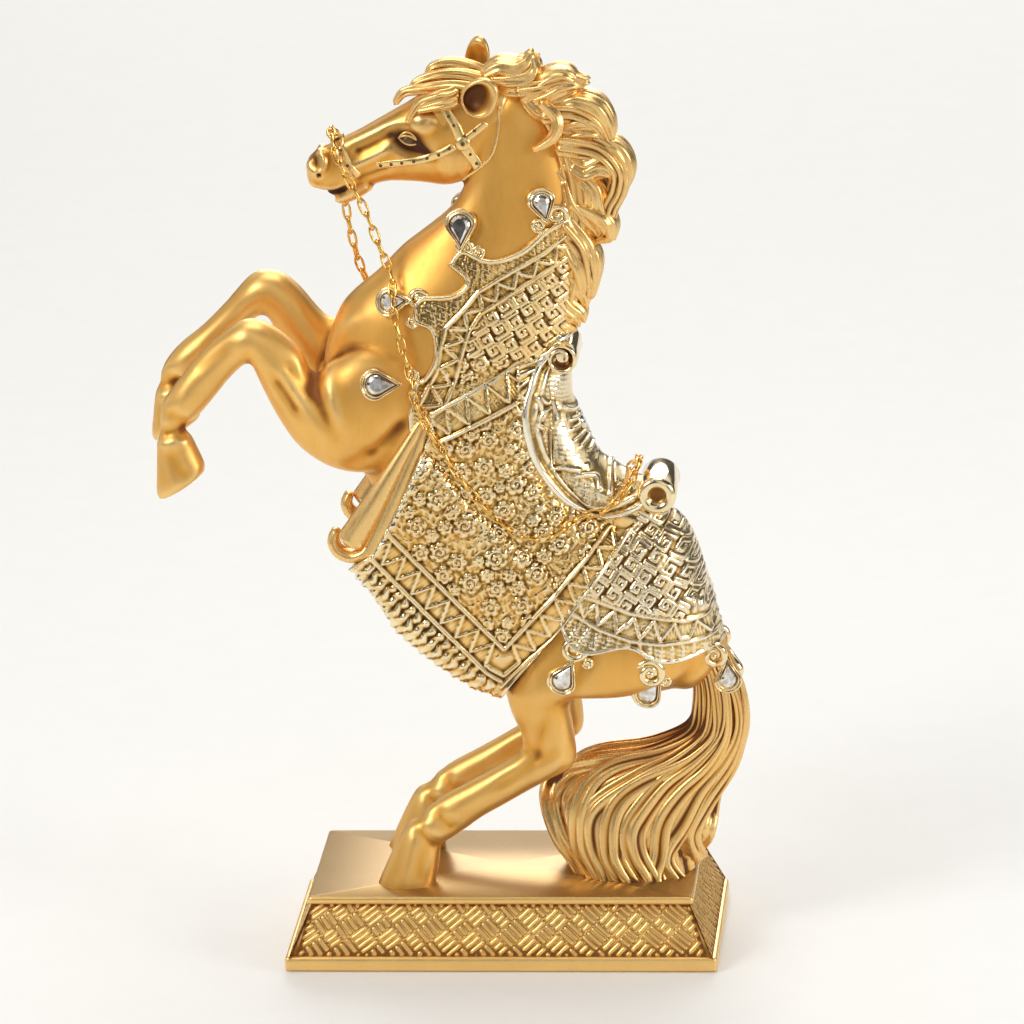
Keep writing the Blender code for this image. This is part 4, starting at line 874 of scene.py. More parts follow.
def tail_ribbon(fine, share, side, order):
    """One lock of the tail, lying on its surface a share of the way across."""
    count = len(fine)
    run = np.linspace(0, 1, count)
    sway = 0.045 * np.sin(run * 7.5 + order * 1.9) * run ** 0.5 + 0.02 * np.sin(run * 17 + order * 2.7)
    w = np.clip(share + sway, 0.0, 1.0)[:, None]
    spots = fine[:, [0, 1]] * (1 - w) + fine[:, [2, 3]] * w
    width = np.hypot(*(fine[:, [0, 1]] - fine[:, [2, 3]]).T)
    bulge = np.sqrt(np.clip(1 - (2 * w[:, 0] - 1) ** 2, 0.0, 1))
    y = side * fine[:, 5] * bulge * 0.93
    rows = np.column_stack([spots[:, 0], y, spots[:, 1], width * 0.105 * (1 - 0.2 * run), 1.5 + 0.8 * run])
    return lock_body(rows, strands=6, groove=0.15, twist=0.5, phase=order * 1.7, sides=40, steps=2)


def make_tail():
    fine = smooth_rows(TAIL_FLOW, 3)
    chunks = [section_body(TAIL_FLOW, sides=150, steps=8, dome=0.3, strands=(19, 0.03, 0.9))]
    order = 0
    for side in (-1, 1):
        for share in np.linspace(0.05, 0.95, 8):
            chunks.append(tail_ribbon(fine, share, side, order))
            order += 1
    points, faces = joined(chunks)
    points = hide_floor(points)
    points[:, 0] = np.minimum(points[:, 0], 56.5 + 1.3 * np.maximum(points[:, 2], 0))
    return points, faces


def cloth_support(step, side):
    """One side of the skin that the cloths lie on: body, thighs and hanging flaps."""
    chunks = [
        section_body(TORSO, sides=56, square=2.2),
        section_body(NECK, sides=48),
        section_body(HIND_LEG[:6], dome=0.3),
        section_body(HIND_LEG[:6], mirror=-1, dome=0.3),
        section_body(FLAP, mirror=1, square=4.0, dome=0.5),
        section_body(FLAP, mirror=-1, square=4.0, dome=0.5),
        section_body(SEAT_FORM, dome=0.3),
    ]
    points, faces = fused_skin("support", chunks, step, round(7 / step ** 2))
    normals = averaged(quad_normals(points, faces), face_edges(faces), round(6 / step ** 2))
    used, faces = kept(points, faces, points[:, 1] * side > -step)
    return points[used], faces, unit(normals[used])


def rounded(outline):
    """A closed outline with its corners turned into curves."""
    return smooth_rows(outline + outline[:1], 4)[:-1]


def cloth_piece(support, outline, over, thickness, relief):
    """One cloth raised from the support, its rim sunk into what lies below."""
    points, faces, normals = support
    edge = depth_inside(points[:, [0, 2]], outline)
    keep = edge > -0.9
    for other in over:
        keep &= depth_inside(points[:, [0, 2]], other) < 2.2
    used, patch = kept(points, faces, keep)
    base, out, edge = points[used], normals[used], edge[used]
    outer = soft_step(out[:, 1] * np.sign(base[:, 1]), -0.5, -0.2)
    height = relief(base, edge) * outer
    lift = -0.7 + (thickness + 0.7 + height) * soft_step(edge, -0.3, 0.25)
    return base + out * lift[:, None], patch


def ridge(gap, width):
    return np.exp(-(gap / width) ** 2)


def triangle_wave(values):
    return np.abs((values % 1) * 2 - 1)


def zigzag(low_gap, high_gap, run, pitch):
    """A zigzag thread between two lines, with small leaves beside it."""
    wide = low_gap + high_gap
    share = low_gap / np.maximum(wide, 1e-6)
    thread = ridge((share - 0.12 - 0.76 * triangle_wave(run / pitch)) * wide * 0.62, 0.42)
    leaves = 0.45 * ridge(np.sin(2 * np.pi * run / (pitch / 4) + 3 * share), 0.45)
    return 0.62 * np.maximum(thread, leaves * (1 - thread) * ridge(share - 0.5, 0.34))


def stipple(points, size):
    u, v, w = (points / size).T
    grain = (np.sin(2.1 * u + 1.7 * np.sin(1.3 * v)) * np.sin(2.3 * v + 1.4 * np.sin(1.1 * u))
             + 0.6 * np.sin(2.7 * w + u))
    return 0.22 * soft_step(grain, -0.2, 0.9)


def swirl(u, v, radius, hand, phase):
    """A spiral rosette: coiled ridge inside, scalloped petals outside."""
    r, angle = np.hypot(u, v), np.arctan2(v, u) * hand
    coil = 0.5 + 0.5 * np.cos(2 * np.pi * (r / (radius * 0.42) - angle / (2 * np.pi)) + phase)
    petals = 0.5 + 0.5 * np.cos(6 * angle + 2.6 * r / radius + phase)
    share = r / radius
    inner = soft_step(share, 0.74, 0.66)
    outer = soft_step(share, 1.08, 0.92)
    return (0.75 * coil * inner + 0.55 * petals * (1 - inner) + 0.15) * outer


def brocade(spots, roses):
    """A field of leaves and tendrils with rosettes set in it."""
    u, v = spots.T
    weave = np.sin(1.35 * u + 1.5 * np.sin(0.62 * v + 0.4)) * np.sin(1.25 * v + 1.5 * np.sin(0.7 * u))
    leaves = (ridge(np.sin(2.2 * (u + 0.6 * v) + 2.2 * np.sin(0.8 * v)), 0.4)
              * (0.5 + 0.5 * np.sin(1.1 * (u - v))))
    height = 0.38 * ridge(weave, 0.14) + 0.42 * leaves
    for k, (x, z, radius) in enumerate(roses):
        du, dv = u - x, v - z
        near = np.hypot(du, dv) < radius * 1.3
        gap = np.hypot(du[near], dv[near])
        bloom = swirl(du[near], dv[near], radius, 1 if k % 2 else -1, k * 1.1)
        height[near] = np.where(gap < radius * 1.08, 1.25 * bloom,
                                height[near] * soft_step(gap, radius, radius * 1.3))
    return 0.72 * height


def rose_field(outline, roses, pitch):
    """The traced rosettes, and smaller ones filling the room between them."""
    field = list(roses)
    (x0, z0), (x1, z1) = np.min(outline, axis=0), np.max(outline, axis=0)
    row = 0
    z = z0
    while z < z1:
        x = x0 + (pitch / 2 if row % 2 else 0)
        while x < x1:
            spot = np.array([[x + 0.8 * math.sin(3 * z + x), z + 0.8 * math.cos(2 * x + z)]])
            if inside(spot, outline)[0]:
                room = min(math.hypot(spot[0, 0] - a, spot[0, 1] - b) - c for a, b, c in field)
                if room > pitch * 0.24:
                    field.append((spot[0, 0], spot[0, 1], min(room * 0.95, pitch * 0.42)))
            x += pitch
        z += pitch * 0.6
        row += 1
    return field


KEY_TILE = [(0.0, 0.12), (0.88, 0.12), (0.88, 0.88), (0.28, 0.88), (0.28, 0.42), (0.6, 0.42), (0.6, 0.62)]


def key_fret(u, v, cell):
    """A meander: every other tile turned round, all joined along one edge."""
    a, b = np.floor(u / cell), np.floor(v / cell)
    p, q = u / cell - a, v / cell - b
    turned = (a + b) % 2 == 1
    spots = np.stack([np.where(turned, 1 - p, p), np.where(turned, 1 - q, q)], -1)
    gap, _ = line_distance(spots, KEY_TILE)
    return 0.6 * soft_step(gap * cell, 0.75, 0.35)


def plait(u, v, cell, turn=0.74):
    """Bars in threes that cross like basketwork, with short keys between."""
    c, s = math.cos(turn), math.sin(turn)
    p, q = (u * c + v * s) / cell, (v * c - u * s) / cell
    a, b = np.floor(p), np.floor(q)
    p, q = p - a, q - b
    even = (a + b) % 2 == 0
    across, along = np.where(even, q, p), np.where(even, p, q)
    keyed = ((a + 2 * b) % 3 == 0) & (along > 0.62)
    across, along = np.where(keyed, along, across), np.where(keyed, across, along)
    bars = soft_step(0.5 - 0.5 * np.cos(6 * np.pi * across), 0.3, 0.75)
    return bars * soft_step(np.minimum(along, 1 - along), 0.02, 0.09)


def blanket_relief(points, edge):
    spots = points[:, [0, 2]]
    inner_gap, inner_run = line_distance(spots, BLANKET_INNER)
    outer_gap, outer_run = line_distance(spots, BLANKET_OUTER)
    rear_gap, _ = line_distance(spots, BLANKET_REAR)
    high_gap, high_run = line_distance(spots, FRONT_BAND_HIGH)
    low_gap, _ = line_distance(spots, FRONT_BAND_LOW)
    field = inside(spots, BLANKET_FIELD)
    front = inside(spots, FRONT_BAND_HIGH + FRONT_BAND_LOW[::-1])
    band = inside(spots, BLANKET_BAND) & ~field
    fringe = ~band & ~field & ~front
    height = brocade(spots, rose_field(BLANKET_FIELD, ROSES, 6.4))
    trim = zigzag(np.minimum(outer_gap, rear_gap), inner_gap, inner_run, 6.2)
    height = np.where(band, trim, height)
    tuft = np.abs(np.cos(np.pi * outer_run / 2.9 + 0.35 * np.sin(edge * 1.7)))
    tassel = 0.9 * tuft * (0.65 + 0.35 * np.cos(edge * 1.9 + 1.5 * np.sin(outer_run * 1.1)))
    height = np.where(fringe, tassel + 0.3 * ridge(np.sin(6 * outer_run), 0.6), height)
    height = np.where(front, zigzag(low_gap, high_gap, high_run, 6.5), height)
    height = np.where(fringe & (spots[:, 0] > 30),
                      0.5 * ridge(np.sin(np.pi * (spots @ (0.3, 1.0)) / 1.7), 0.5), height)
    for gap in (inner_gap, outer_gap, rear_gap, high_gap, low_gap):
        height = np.maximum(height * (1 - ridge(gap, 0.95)), 0.85 * ridge(gap, 0.5))
    return height


def neck_relief(points, edge):
    spots = points[:, [0, 2]]
    out_gap, run = line_distance(spots, NECK_OUT)
    in_gap, _ = line_distance(spots, NECK_IN)
    low_gap, _ = line_distance(spots, NECK_LOW)
    band = inside(spots, NECK_OUT + NECK_IN[::-1])
    panel = inside(spots, NECK_IN + [(40, 193), (40, 160), (8, 160), (-7, 157)])
    height = stipple(points, 0.55)
    height = np.where(panel, key_fret(*(spots @ np.array([[0.86, -0.5], [0.5, 0.86]])).T, 4.8), height)
    lower = panel & (spots[:, 1] < 163 - 0.2 * spots[:, 0])
    height = np.where(
        lower,
        brocade(spots, rose_field([(-14, 140), (20, 140), (20, 168), (-12, 162)], [(-6, 157.5, 2.6)], 6)),
        height)
    height = np.where(band, zigzag(in_gap, out_gap, run, 6.4), height)
    for gap in (out_gap, in_gap, low_gap, edge - 0.9):
        height = np.maximum(height * (1 - ridge(gap, 0.8)), 0.6 * ridge(gap, 0.42))
    return height


def crupper_relief(points, edge):
    spots = points[:, [0, 2]]
    high_gap, run = line_distance(spots, CRUPPER_HIGH)
    low_gap, low_run = line_distance(spots, CRUPPER_LOW)
    band = inside(spots, CRUPPER_HIGH + CRUPPER_LOW[::-1])
    above = inside(spots, CRUPPER_HIGH + [(90, 90), (80, 130), (20, 130)])
    along, across = spots @ (0.83, -0.56), spots @ (0.56, 0.83)
    fret = np.where(along < -1.0, key_fret(along, across, 4.9), plait(along, across, 5.6, 0.6) * 0.42)
    height = stipple(points, 0.6) + 0.25 * ridge(np.sin(np.pi * low_run / 3.0), 0.5)
    height = np.where(above, fret, height)
    height = np.where(band, zigzag(low_gap, high_gap, run, 5.8), height)
    for gap in (high_gap, low_gap, edge - 0.8):
        height = np.maximum(height * (1 - ridge(gap, 0.8)), 0.65 * ridge(gap, 0.45))
    return height


def skirt_relief(points, edge):
    spots = points[:, [0, 2]]
    height = stipple(points, 0.55) * np.where((edge > 4.2) & (edge < 8.0), 1.0, 0.45)
    panel = edge > 8.0
    flutes = 0.3 * ridge(np.sin(np.pi * (spots[:, 0] + spots[:, 1] * 0.4) / 2.2), 0.6)
    height = np.where(panel & (spots[:, 1] < 128), flutes, height)
    for gap, top, width in ((edge - 1.0, 0.8, 0.6), (edge - 3.4, 0.7, 0.5)):
        height = np.maximum(height, top * ridge(gap, width))
    for path in SADDLE_CURVES:
        gap, _ = line_distance(spots, smooth_rows(path, 4))
        height = np.maximum(height * (1 - 0.8 * ridge(gap, 1.1)), 0.75 * ridge(gap, 0.5))
    return height


def scroll_roll(x, z, radius, half_long, start, turns, thick, lead=()):
    """A cloth end rolled up across the horse, with an optional lead-in."""
    path = [(px, 0, pz) for px, pz in lead]
    steps = int(abs(turns) * 14)
    for k in range(steps + 1):
        share = k / steps
        r = (radius - thick / 2) * (1 - 0.12 * share - 0.6 * share ** 3)
        angle = start + share * turns * 2 * math.pi
        path.append((x + r * math.cos(angle), 0, z + r * math.sin(angle)))
    fine = np.array(path)
    along = unit(np.gradient(fine, axis=0))
    side = np.cross(along, (0, 1, 0))
    rings = []
    profile = []
    for k in range(20):
        angle = 2 * math.pi * k / 20
        c, s = math.cos(angle), math.sin(angle)
        profile.append((math.copysign(abs(c) ** 0.7, c) * thick / 2,
                        math.copysign(abs(s) ** 0.35, s) * half_long))
    for spot, out in zip(fine, side):
        rings.append([spot + out * a + np.array((0, b, 0)) for a, b in profile])
    return tube(rings)


def turned_roll(x, z, profile, sides=48):
    """A round roll across the horse from (distance across, radius) stations."""
    angle = 2 * np.pi * np.arange(sides) / sides
    rings = [np.stack([x + r * np.cos(angle), 0 * angle + y, z + r * np.sin(angle)], -1) for y, r in profile]
    return tube(rings)


def make_rolls():
    """The pommel's curled scroll and the cantle's roll with its hollow ends."""
    lead = [(7.6, 149.0), (9.8, 155.5), (13.2, 161.6)]
    end = [(10.0, 0.4), (10.0, 1.9), (10.9, 2.5), (11.6, 3.2), (11.9, 4.2), (11.6, 5.0), (10.9, 5.6),
           (9.8, 5.8)]
    cantle = [(-y, r) for y, r in end] + [(y, r) for y, r in end[::-1]]
    return joined([
        scroll_roll(21.0, 161.4, 5.3, 11.6, math.pi * 0.84, -1.5, 2.0, lead),
        turned_roll(21.0, 161.4, [(-8.6, 1.2), (-8.4, 2.4), (-7.8, 3.4), (7.8, 3.4), (8.4, 2.4), (8.6, 1.2)]),
        turned_roll(48.4, 119.2, cantle),
    ])


LAPEL_ROLL = [(-18.8, 19.2, 144.0), (-24.0, 20.0, 135.4), (-29.6, 20.6, 126.2), (-35.4, 20.8, 116.6),
              (-41.2, 20.6, 107.6)]


def make_lapels():
    """The blanket's front corners rolled over, widening to an open end."""
    chunks = []
    for side in (1, -1):
        roll = [(x, y * side, z) for x, y, z in LAPEL_ROLL]
        chunks.append(sweep([(x - 1.2, y + 0.9 * side, z + 1.0) for x, y, z in roll],
                            4.3, (0, 1, 0), 0.8, 32, 8, taper=[0.3, 0.5, 0.7, 0.88, 1.0]))
        chunks.append(sweep([(x + 5.2 * k / 4, y + 0.9 * side, z - 3.6 * k / 4)
                             for k, (x, y, z) in enumerate(roll)],
                            3.9, (0, 1, 0), 0.62, 28, 8, taper=[0.3, 0.5, 0.7, 0.88, 1.0]))
        lip = [(-46.6, 19.6 * side, 111.8), (-47.6, 19.4 * side, 108.4), (-46.0, 19.8 * side, 105.2),
               (-42.4, 20.2 * side, 103.8), (-38.8, 20.8 * side, 105.0), (-37.2, 21.0 * side, 107.2)]
        chunks.append(sweep(lip, 1.9, (0, 1, 0), 1.7, 20, 6, taper=[0.7, 1, 1.1, 1.1, 1, 0.7]))
    return joined(chunks)


def tear_line(length, width, sides=28):
    """A teardrop outline, tip toward +X, round end centred on the origin."""
    radius = width / 2
    tip = length - radius
    lean = math.acos(radius / tip)
    points = [(tip, 0.0)]
    for k in range(sides - 1):
        angle = lean + (2 * math.pi - 2 * lean) * k / (sides - 2)
        points.append((radius * math.cos(angle), radius * math.sin(angle)))
    return np.array(points)


def stone_frames():
    """Middle, axes and size of every stone, read from its CAD node."""
    frames = {}
    for name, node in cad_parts.items():
        if not name.startswith("gem_"):
            continue
        points = mesh_points(node.data)
        points = np.unique(points.round(4), axis=0)
        centre = points.mean(axis=0)
        _, _, axes = np.linalg.svd(points - centre)
        local = (points - centre) @ axes.T
        along, across, facing = axes
        if abs(local[:, 0].min()) > local[:, 0].max():
            along, local = -along, local * (-1, 1, 1)
        reach = np.hypot(local[:, 0], local[:, 1])
        if local[reach < np.median(reach) * 0.75, 2].mean() < 0:
            facing, local = -facing, local * (1, 1, -1)
        across = np.cross(facing, along)
        length, width = np.ptp(local[:, 0]), np.ptp(local[:, 1])
        if "buttock" in name:
            facing = unit(facing + np.array([0.0, 1.2 * np.sign(centre[1]), 0.2]))
            along = unit(along - facing * (along @ facing))
            across = np.cross(facing, along)
        start = centre + along * (local[:, 0].max() - length + width / 2)
        girdle = np.median(local[reach > np.median(reach), 2])
        frames[name] = (start, along, across, facing, length, width, girdle)
    return frames


def shaped_rings(stone, profile, sides=28):
    """Rings of a stone's outline, scaled about its middle and raised."""
    start, along, across, facing, length, width, girdle = stone
    outline = tear_line(length, width, sides)
    middle = np.array([length / 2 - width / 2, 0])
    rings = []
    for grow, height in profile:
        flat = middle + (outline - middle) * (1 + 2 * grow / np.array([length, width]))
        rings.append(start + along * flat[:, :1] + across * flat[:, 1:] + facing * (height + girdle))
    return rings


def make_stones(frames):
    """Cut stones and the settings that hold them."""
    stones, settings = {}, []
    for name, stone in frames.items():
        rings = shaped_rings(stone, [(0.35, -1.0), (0.45, 0.1), (-0.1, 0.66), (-0.85, 1.1)], 14)
        stones[name] = tube(rings)
        profile = [(2.3, -2.4), (2.2, -0.6), (2.0, 0.2), (1.7, 0.55), (1.4, 0.4), (1.25, 0.15), (1.1, 0.2),
                   (0.9, 0.5), (0.62, 0.45), (0.45, -0.1), (0.1, -1.6)]
        settings.append(tube(shaped_rings(stone, profile)))
    return stones, joined(settings)


# Scroll ornaments: centre (x, z), radius, start angle and hand of the coil.
CURLS = [
    (23.5, 75.6, 4.3, 100, -1), (46.0, 67.0, 4.3, 150, -1), (64.4, 69.0, 3.7, 120, -1),
    (-6.9, 196.0, 3.0, 250, 1), (-2.4, 194.6, 2.0, 200, -1), (20.6, 204.4, 3.4, 250, 1),
    (15.4, 202.0, 2.2, 300, -1),
    (-20.6, 181.0, 3.0, 0, 1), (-22.4, 174.6, 2.0, 60, -1), (-22.4, 158.6, 1.9, 300, 1),
    (-22.0, 153.6, 2.3, 60, -1),
    (27.6, 71.4, 1.7, 200, 1), (50.4, 63.8, 1.7, 200, 1),
]


def make_curls(tree):
    chunks = []
    for x, z, radius, start, hand in CURLS:
        for side in (1, -1):
            path = []
            for k in range(17):
                share = k / 16
                r = radius * (1 - 0.7 * share)
                angle = math.radians(start) + hand * share * 1.45 * 2 * math.pi
                px, pz = x + r * math.cos(angle), z + r * math.sin(angle)
                path.append((px, touch(tree, px, pz, side, side * 12) + side * 0.35, pz))
            levels = [p[1] * side for p in path]
            level = float(np.median(levels))
            path = [(p[0], side * (0.35 * min(max(p[1] * side, level - 1.5), level + 1) + 0.65 * level), p[2])
                    for p in path]
            chunks.append(sweep(path, radius * 0.29, (0, 1, 0), 1.25, 10, 2, taper=[0.7, 1.0, 1.0, 0.9, 0.7]))
            chunks.append(ball_body((x, side * level, z), (radius * 0.33, radius * 0.4, radius * 0.33)))
    return joined(chunks)


LINK_PITCH, LINK_WIDTH, LINK_WIRE, SEAT_CLEAR = 4.4, 3.1, 0.5, 0.6


def rein_joints():
    """Joint points of the chain, on the route that the CAD chain takes."""
    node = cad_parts["horse"]
    tree = BVHTree.FromPolygons(mesh_points(node.data).tolist(),
                                [list(p.vertices) for p in node.data.polygons])
    rows = [REIN_NOSE] + REIN_NEAR + [REIN_SEAT] + REIN_FAR
    rows = rows[-2:] + rows + rows[:2]
    fine = smooth_rows(rows, 8)[16:-17]
    points = [Vector(r[:3]) for r in fine]
    lying = fine[:, 3] > 0.5
    reach = LINK_WIDTH / 2 + SEAT_CLEAR
    count = len(points)
    for _ in range(30):
        for i, point in enumerate(points):
            spot, normal, _, _ = tree.find_nearest(point)
            if lying[i] or (point - spot).dot(normal) < reach:
                points[i] = spot + normal * reach
        points = [(points[i - 1] + points[i] * 2 + points[(i + 1) % count]) / 4 for i in range(count)]
    ring = np.array([tuple(p) for p in points + [points[0]]])
    walk = np.concatenate([[0], np.cumsum(np.linalg.norm(np.diff(ring, axis=0), axis=1))])
    links = 2 * round(walk[-1] / LINK_PITCH / 2)
    stops = np.linspace(0, walk[-1], links, endpoint=False)
    return np.stack([np.interp(stops, walk, ring[:, k]) for k in range(3)], -1)


def make_chain():
    """Open oval links, each turned a quarter from the last."""
    joints = rein_joints()
    count = len(joints)
    runs = unit(np.roll(joints, -1, axis=0) - joints)
    normal = unit(np.cross((0, 0, 1.0), runs[0]))
    carried = []
    for run in runs:
        normal = unit(normal - run * (normal @ run))
        carried.append(normal)
    closing = unit(normal - runs[0] * (normal @ runs[0]))
    twist = math.atan2(np.cross(closing, carried[0]) @ runs[0], closing @ carried[0])
    chunks = []
    for i in range(count):
        a, b = joints[i], joints[(i + 1) % count]
        run = runs[i]
        angle = twist * i / count + (math.pi / 2 if i % 2 else 0) + 0.12 * math.sin(2.4 * i)
        flat = carried[i] * math.cos(angle) + np.cross(run, carried[i]) * math.sin(angle)
        side = np.cross(run, flat)
        half = np.linalg.norm(b - a) / 2 + LINK_WIRE * 0.95
        wide = LINK_WIDTH / 2 - LINK_WIRE
        turn = 2 * np.pi * np.arange(22) / 22
        c, s = np.cos(turn), np.sin(turn)
        oval = np.stack([np.sign(c) * np.abs(c) ** 0.72 * half, np.sign(s) * np.abs(s) ** 0.72 * wide], -1)
        outline = (a + b) / 2 + run * oval[:, :1] + side * oval[:, 1:]
        away = unit(outline - (a + b) / 2)
        around = 2 * np.pi * np.arange(8) / 8
        rings = outline[:, None] + away[:, None] * (LINK_WIRE * 0.98 * np.cos(around))[None, :, None]
        rings = rings + flat * (LINK_WIRE * 0.98 * np.sin(around))[None, :, None]
        m, n = 22, 8
        j, k = np.meshgrid(np.arange(m), np.arange(n), indexing="ij")
        jn, kn = (j + 1) % m, (k + 1) % n
        quads = np.stack([j * n + k, jn * n + k, jn * n + kn, j * n + kn], -1).reshape(-1, 4)
        chunks.append((rings.reshape(-1, 3), quads.tolist()))
    return joined(chunks)


def plinth_side(length, foot, head, tall, low, spin):
    """One sloping side of the plinth with its carved bars."""
    rows, columns = int(tall / 0.38), int(length / 0.38)
    v, u = np.meshgrid(np.linspace(0, 1, rows), np.linspace(-0.5, 0.5, columns), indexing="ij")
    slope = math.atan2((foot - head) / 2, tall)
    rise = tall / math.cos(slope)
    height = 0.5 * plait(u * length, v * rise, 5.6)
    rim = np.minimum(np.minimum(v, 1 - v) * rise, (0.5 - np.abs(u)) * length)
    height = (height * soft_step(rim, 0.5, 0.9) - 0.5 * soft_step(rim, 0.0, 0.35)
              + 0.35 * ridge(rim - 0.4, 0.3))
    span = length + (foot - head) * (1 - v)
    y = -(foot / 2 + (head - foot) / 2 * v) - height * math.cos(slope)
    z = low + tall * v + height * math.sin(slope)
    points = np.stack([u * span, y, z], -1)
    c, s = math.cos(spin), math.sin(spin)
    turned = np.stack([points[..., 0] * c - points[..., 1] * s, points[..., 0] * s + points[..., 1] * c,
                       points[..., 2]], -1)
    return sheet_grid(turned)


def box_rings(rows, corner=5):
    """Rounded rectangles (length, depth, corner radius, height) as rings."""
    rings = []
    for length, depth, radius, z in rows:
        ring = []
        for k, (sx, sy) in enumerate(((1, 1), (-1, 1), (-1, -1), (1, -1))):
            for i in range(corner + 1):
                a = math.pi / 2 * (k + i / corner)
                ring.append((sx * (length / 2 - radius) + radius * math.cos(a),
                             sy * (depth / 2 - radius) + radius * math.sin(a), z))
        rings.append(ring)
    return rings


def make_plinth():
    base = -PLINTH_TOP / MM
    (x0, y0, _), (x1, y1, _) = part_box("plinth")
    long, deep = (x1 - x0) / MM, (y1 - y0) / MM
    top_long, top_deep = long - 14, deep - 10
    band, slab = 4.5, 2.4
    foot = box_rings([(long - 2.4, deep - 2.4, 0.6, base), (long - 0.5, deep - 0.5, 0.9, base + 0.25),
                      (long, deep, 1.0, base + 0.9),
                      (long, deep, 1.0, base + band - 0.9), (long - 0.5, deep - 0.5, 0.9, base + band - 0.25),
                      (long - 1.4, deep - 1.4, 0.7, base + band), (long - 3.5, deep - 3.5, 0.6, base + band)])
    head = box_rings([(top_long - 4, top_deep - 4, 0.6, -slab), (top_long - 1.2, top_deep - 1.2, 0.8, -slab),
                      (top_long - 0.3, top_deep - 0.3, 0.9, -slab + 0.3),
                      (top_long, top_deep, 1.0, -slab + 0.9),
                      (top_long, top_deep, 1.0, -0.9), (top_long - 0.4, top_deep - 0.4, 0.9, -0.3),
                      (top_long - 1.3, top_deep - 1.3, 0.8, 0.0)])
    low, tall = base + band - 0.1, -base - band - slab + 0.2
    inset = 2.4
    core = box_rings([(long - inset - 1, deep - inset - 1, 0.5, low),
                      (top_long - inset - 1, top_deep - inset - 1, 0.5, low + tall)])
    chunks = [tube(foot), tube(head), tube(core)]
    for k in range(4):
        size = ((top_long - inset, deep - inset, top_deep - inset) if k % 2 == 0
                else (top_deep - inset, long - inset, top_long - inset))
        chunks.append(plinth_side(*size, tall, low, k * math.pi / 2))
    return joined(chunks)


def piece(name, points, faces, finish, slot, stands_for=(), crease=0.12, spread=10, closed=True, darkening=None):
    """A shown piece with its creases and edges written on its points."""
    faces = faces if isinstance(faces, list) else faces.tolist()
    obj = raw_object(name, points, faces)
    if closed:
        outward(obj)
    mesh = obj.data
    darkening = np.zeros(len(points)) if darkening is None else darkening
    normals = np.empty(len(mesh.vertices) * 3)
    mesh.vertices.foreach_get("normal", normals)
    spots = mesh_points(mesh)
    edges = mesh_edges(mesh)
    hollow = ((averaged(spots, edges, spread) - spots) * normals.reshape(-1, 3)).sum(axis=1) / crease
    hollow = averaged(hollow[:, None], edges, 1, 0.6)[:, 0]
    # Written on the points: hollows, which take painted shade, convex edges, which take a painted highlight,
    # and an extra darkening given per piece.
    for label, values in (("recess_shade", hollow), ("edge", -hollow), ("darkening", darkening)):
        layer = mesh.attributes.new(label, "FLOAT", "POINT")
        layer.data.foreach_set("value", np.clip(values, 0, 1).astype(np.float32))
    mesh.polygons.foreach_set("use_smooth", np.ones(len(mesh.polygons), dtype=bool))
    mesh.materials.append(finish)
    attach(obj, "root")
    if stands_for:
        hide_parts(*stands_for)
    return obj


class Wire:
    """One socket of a finish, for use in plain sums."""

    def __init__(self, finish, socket):
        self.finish, self.socket = finish, socket
        self.wide = socket.type in ("VECTOR", "RGBA")

    def __add__(self, other):
        return self.finish.sum("ADD", self, other)

    def __radd__(self, other):
        return self.finish.sum("ADD", other, self)

    def __sub__(self, other):
        return self.finish.sum("SUBTRACT", self, other)

    def __rsub__(self, other):
        return self.finish.sum("SUBTRACT", other, self)

    def __mul__(self, other):
        return self.finish.sum("MULTIPLY", self, other)

    def __rmul__(self, other):
        return self.finish.sum("MULTIPLY", other, self)

    def __truediv__(self, other):
        return self.finish.sum("DIVIDE", self, other)

    def __rtruediv__(self, other):
        return self.finish.sum("DIVIDE", other, self)

    def __pow__(self, other):
        return self.finish.sum("POWER", self, other)

    def __rpow__(self, other):
        return self.finish.sum("POWER", other, self)

    def __neg__(self):
        return self.finish.sum("SUBTRACT", 0.0, self)


class Finish:
    """A material built up from nodes."""

    def __init__(self, name):
        self.material = bpy.data.materials.new(name)
        self.material.use_nodes = True
        self.tree = self.material.node_tree
        self.shader = self.tree.nodes["Principled BSDF"]

    def fill(self, socket, value):
        if isinstance(value, Wire):
            self.tree.links.new(value.socket, socket)
        elif isinstance(value, tuple) and socket.type == "RGBA":
            socket.default_value = (*value, 1)
        else:
            socket.default_value = value

    def node(self, kind, settings=None, inputs=None, output=0):
        """A node, its settings made first and its inputs filled after."""
        made = self.tree.nodes.new(kind)
        for key, value in (settings or {}).items():
            setattr(made, key, value)
        for key, value in (inputs or {}).items():
            self.fill(made.inputs[key], value)
        return Wire(self, made.outputs[output])

    def sum(self, kind, a, b):
        """Numbers through a Math node, colours and places through Vector Math."""
        wide = any(isinstance(v, tuple) or (isinstance(v, Wire) and v.wide) for v in (a, b))
        if not wide:
            return self.node("ShaderNodeMath", {"operation": kind}, {0: a, 1: b})
        a, b = (v if isinstance(v, (Wire, tuple)) else (v, v, v) for v in (a, b))
        return self.node("ShaderNodeVectorMath", {"operation": kind}, {0: a, 1: b})

    def clip(self, value):
        return self.node("ShaderNodeClamp", {}, {"Value": value})

    def mix(self, low, high, share):
        return self.node("ShaderNodeMix", {"data_type": "RGBA"}, {0: self.clip(share), 6: low, 7: high}, 2)

    def noise(self, place, scale, detail=3.0):
        return self.node("ShaderNodeTexNoise", {},
                         {"Vector": place, "Scale": scale, "Detail": detail, "Roughness": 0.6})

    def trait(self, label):
        return self.node("ShaderNodeAttribute", {"attribute_name": label}, {}, "Fac")
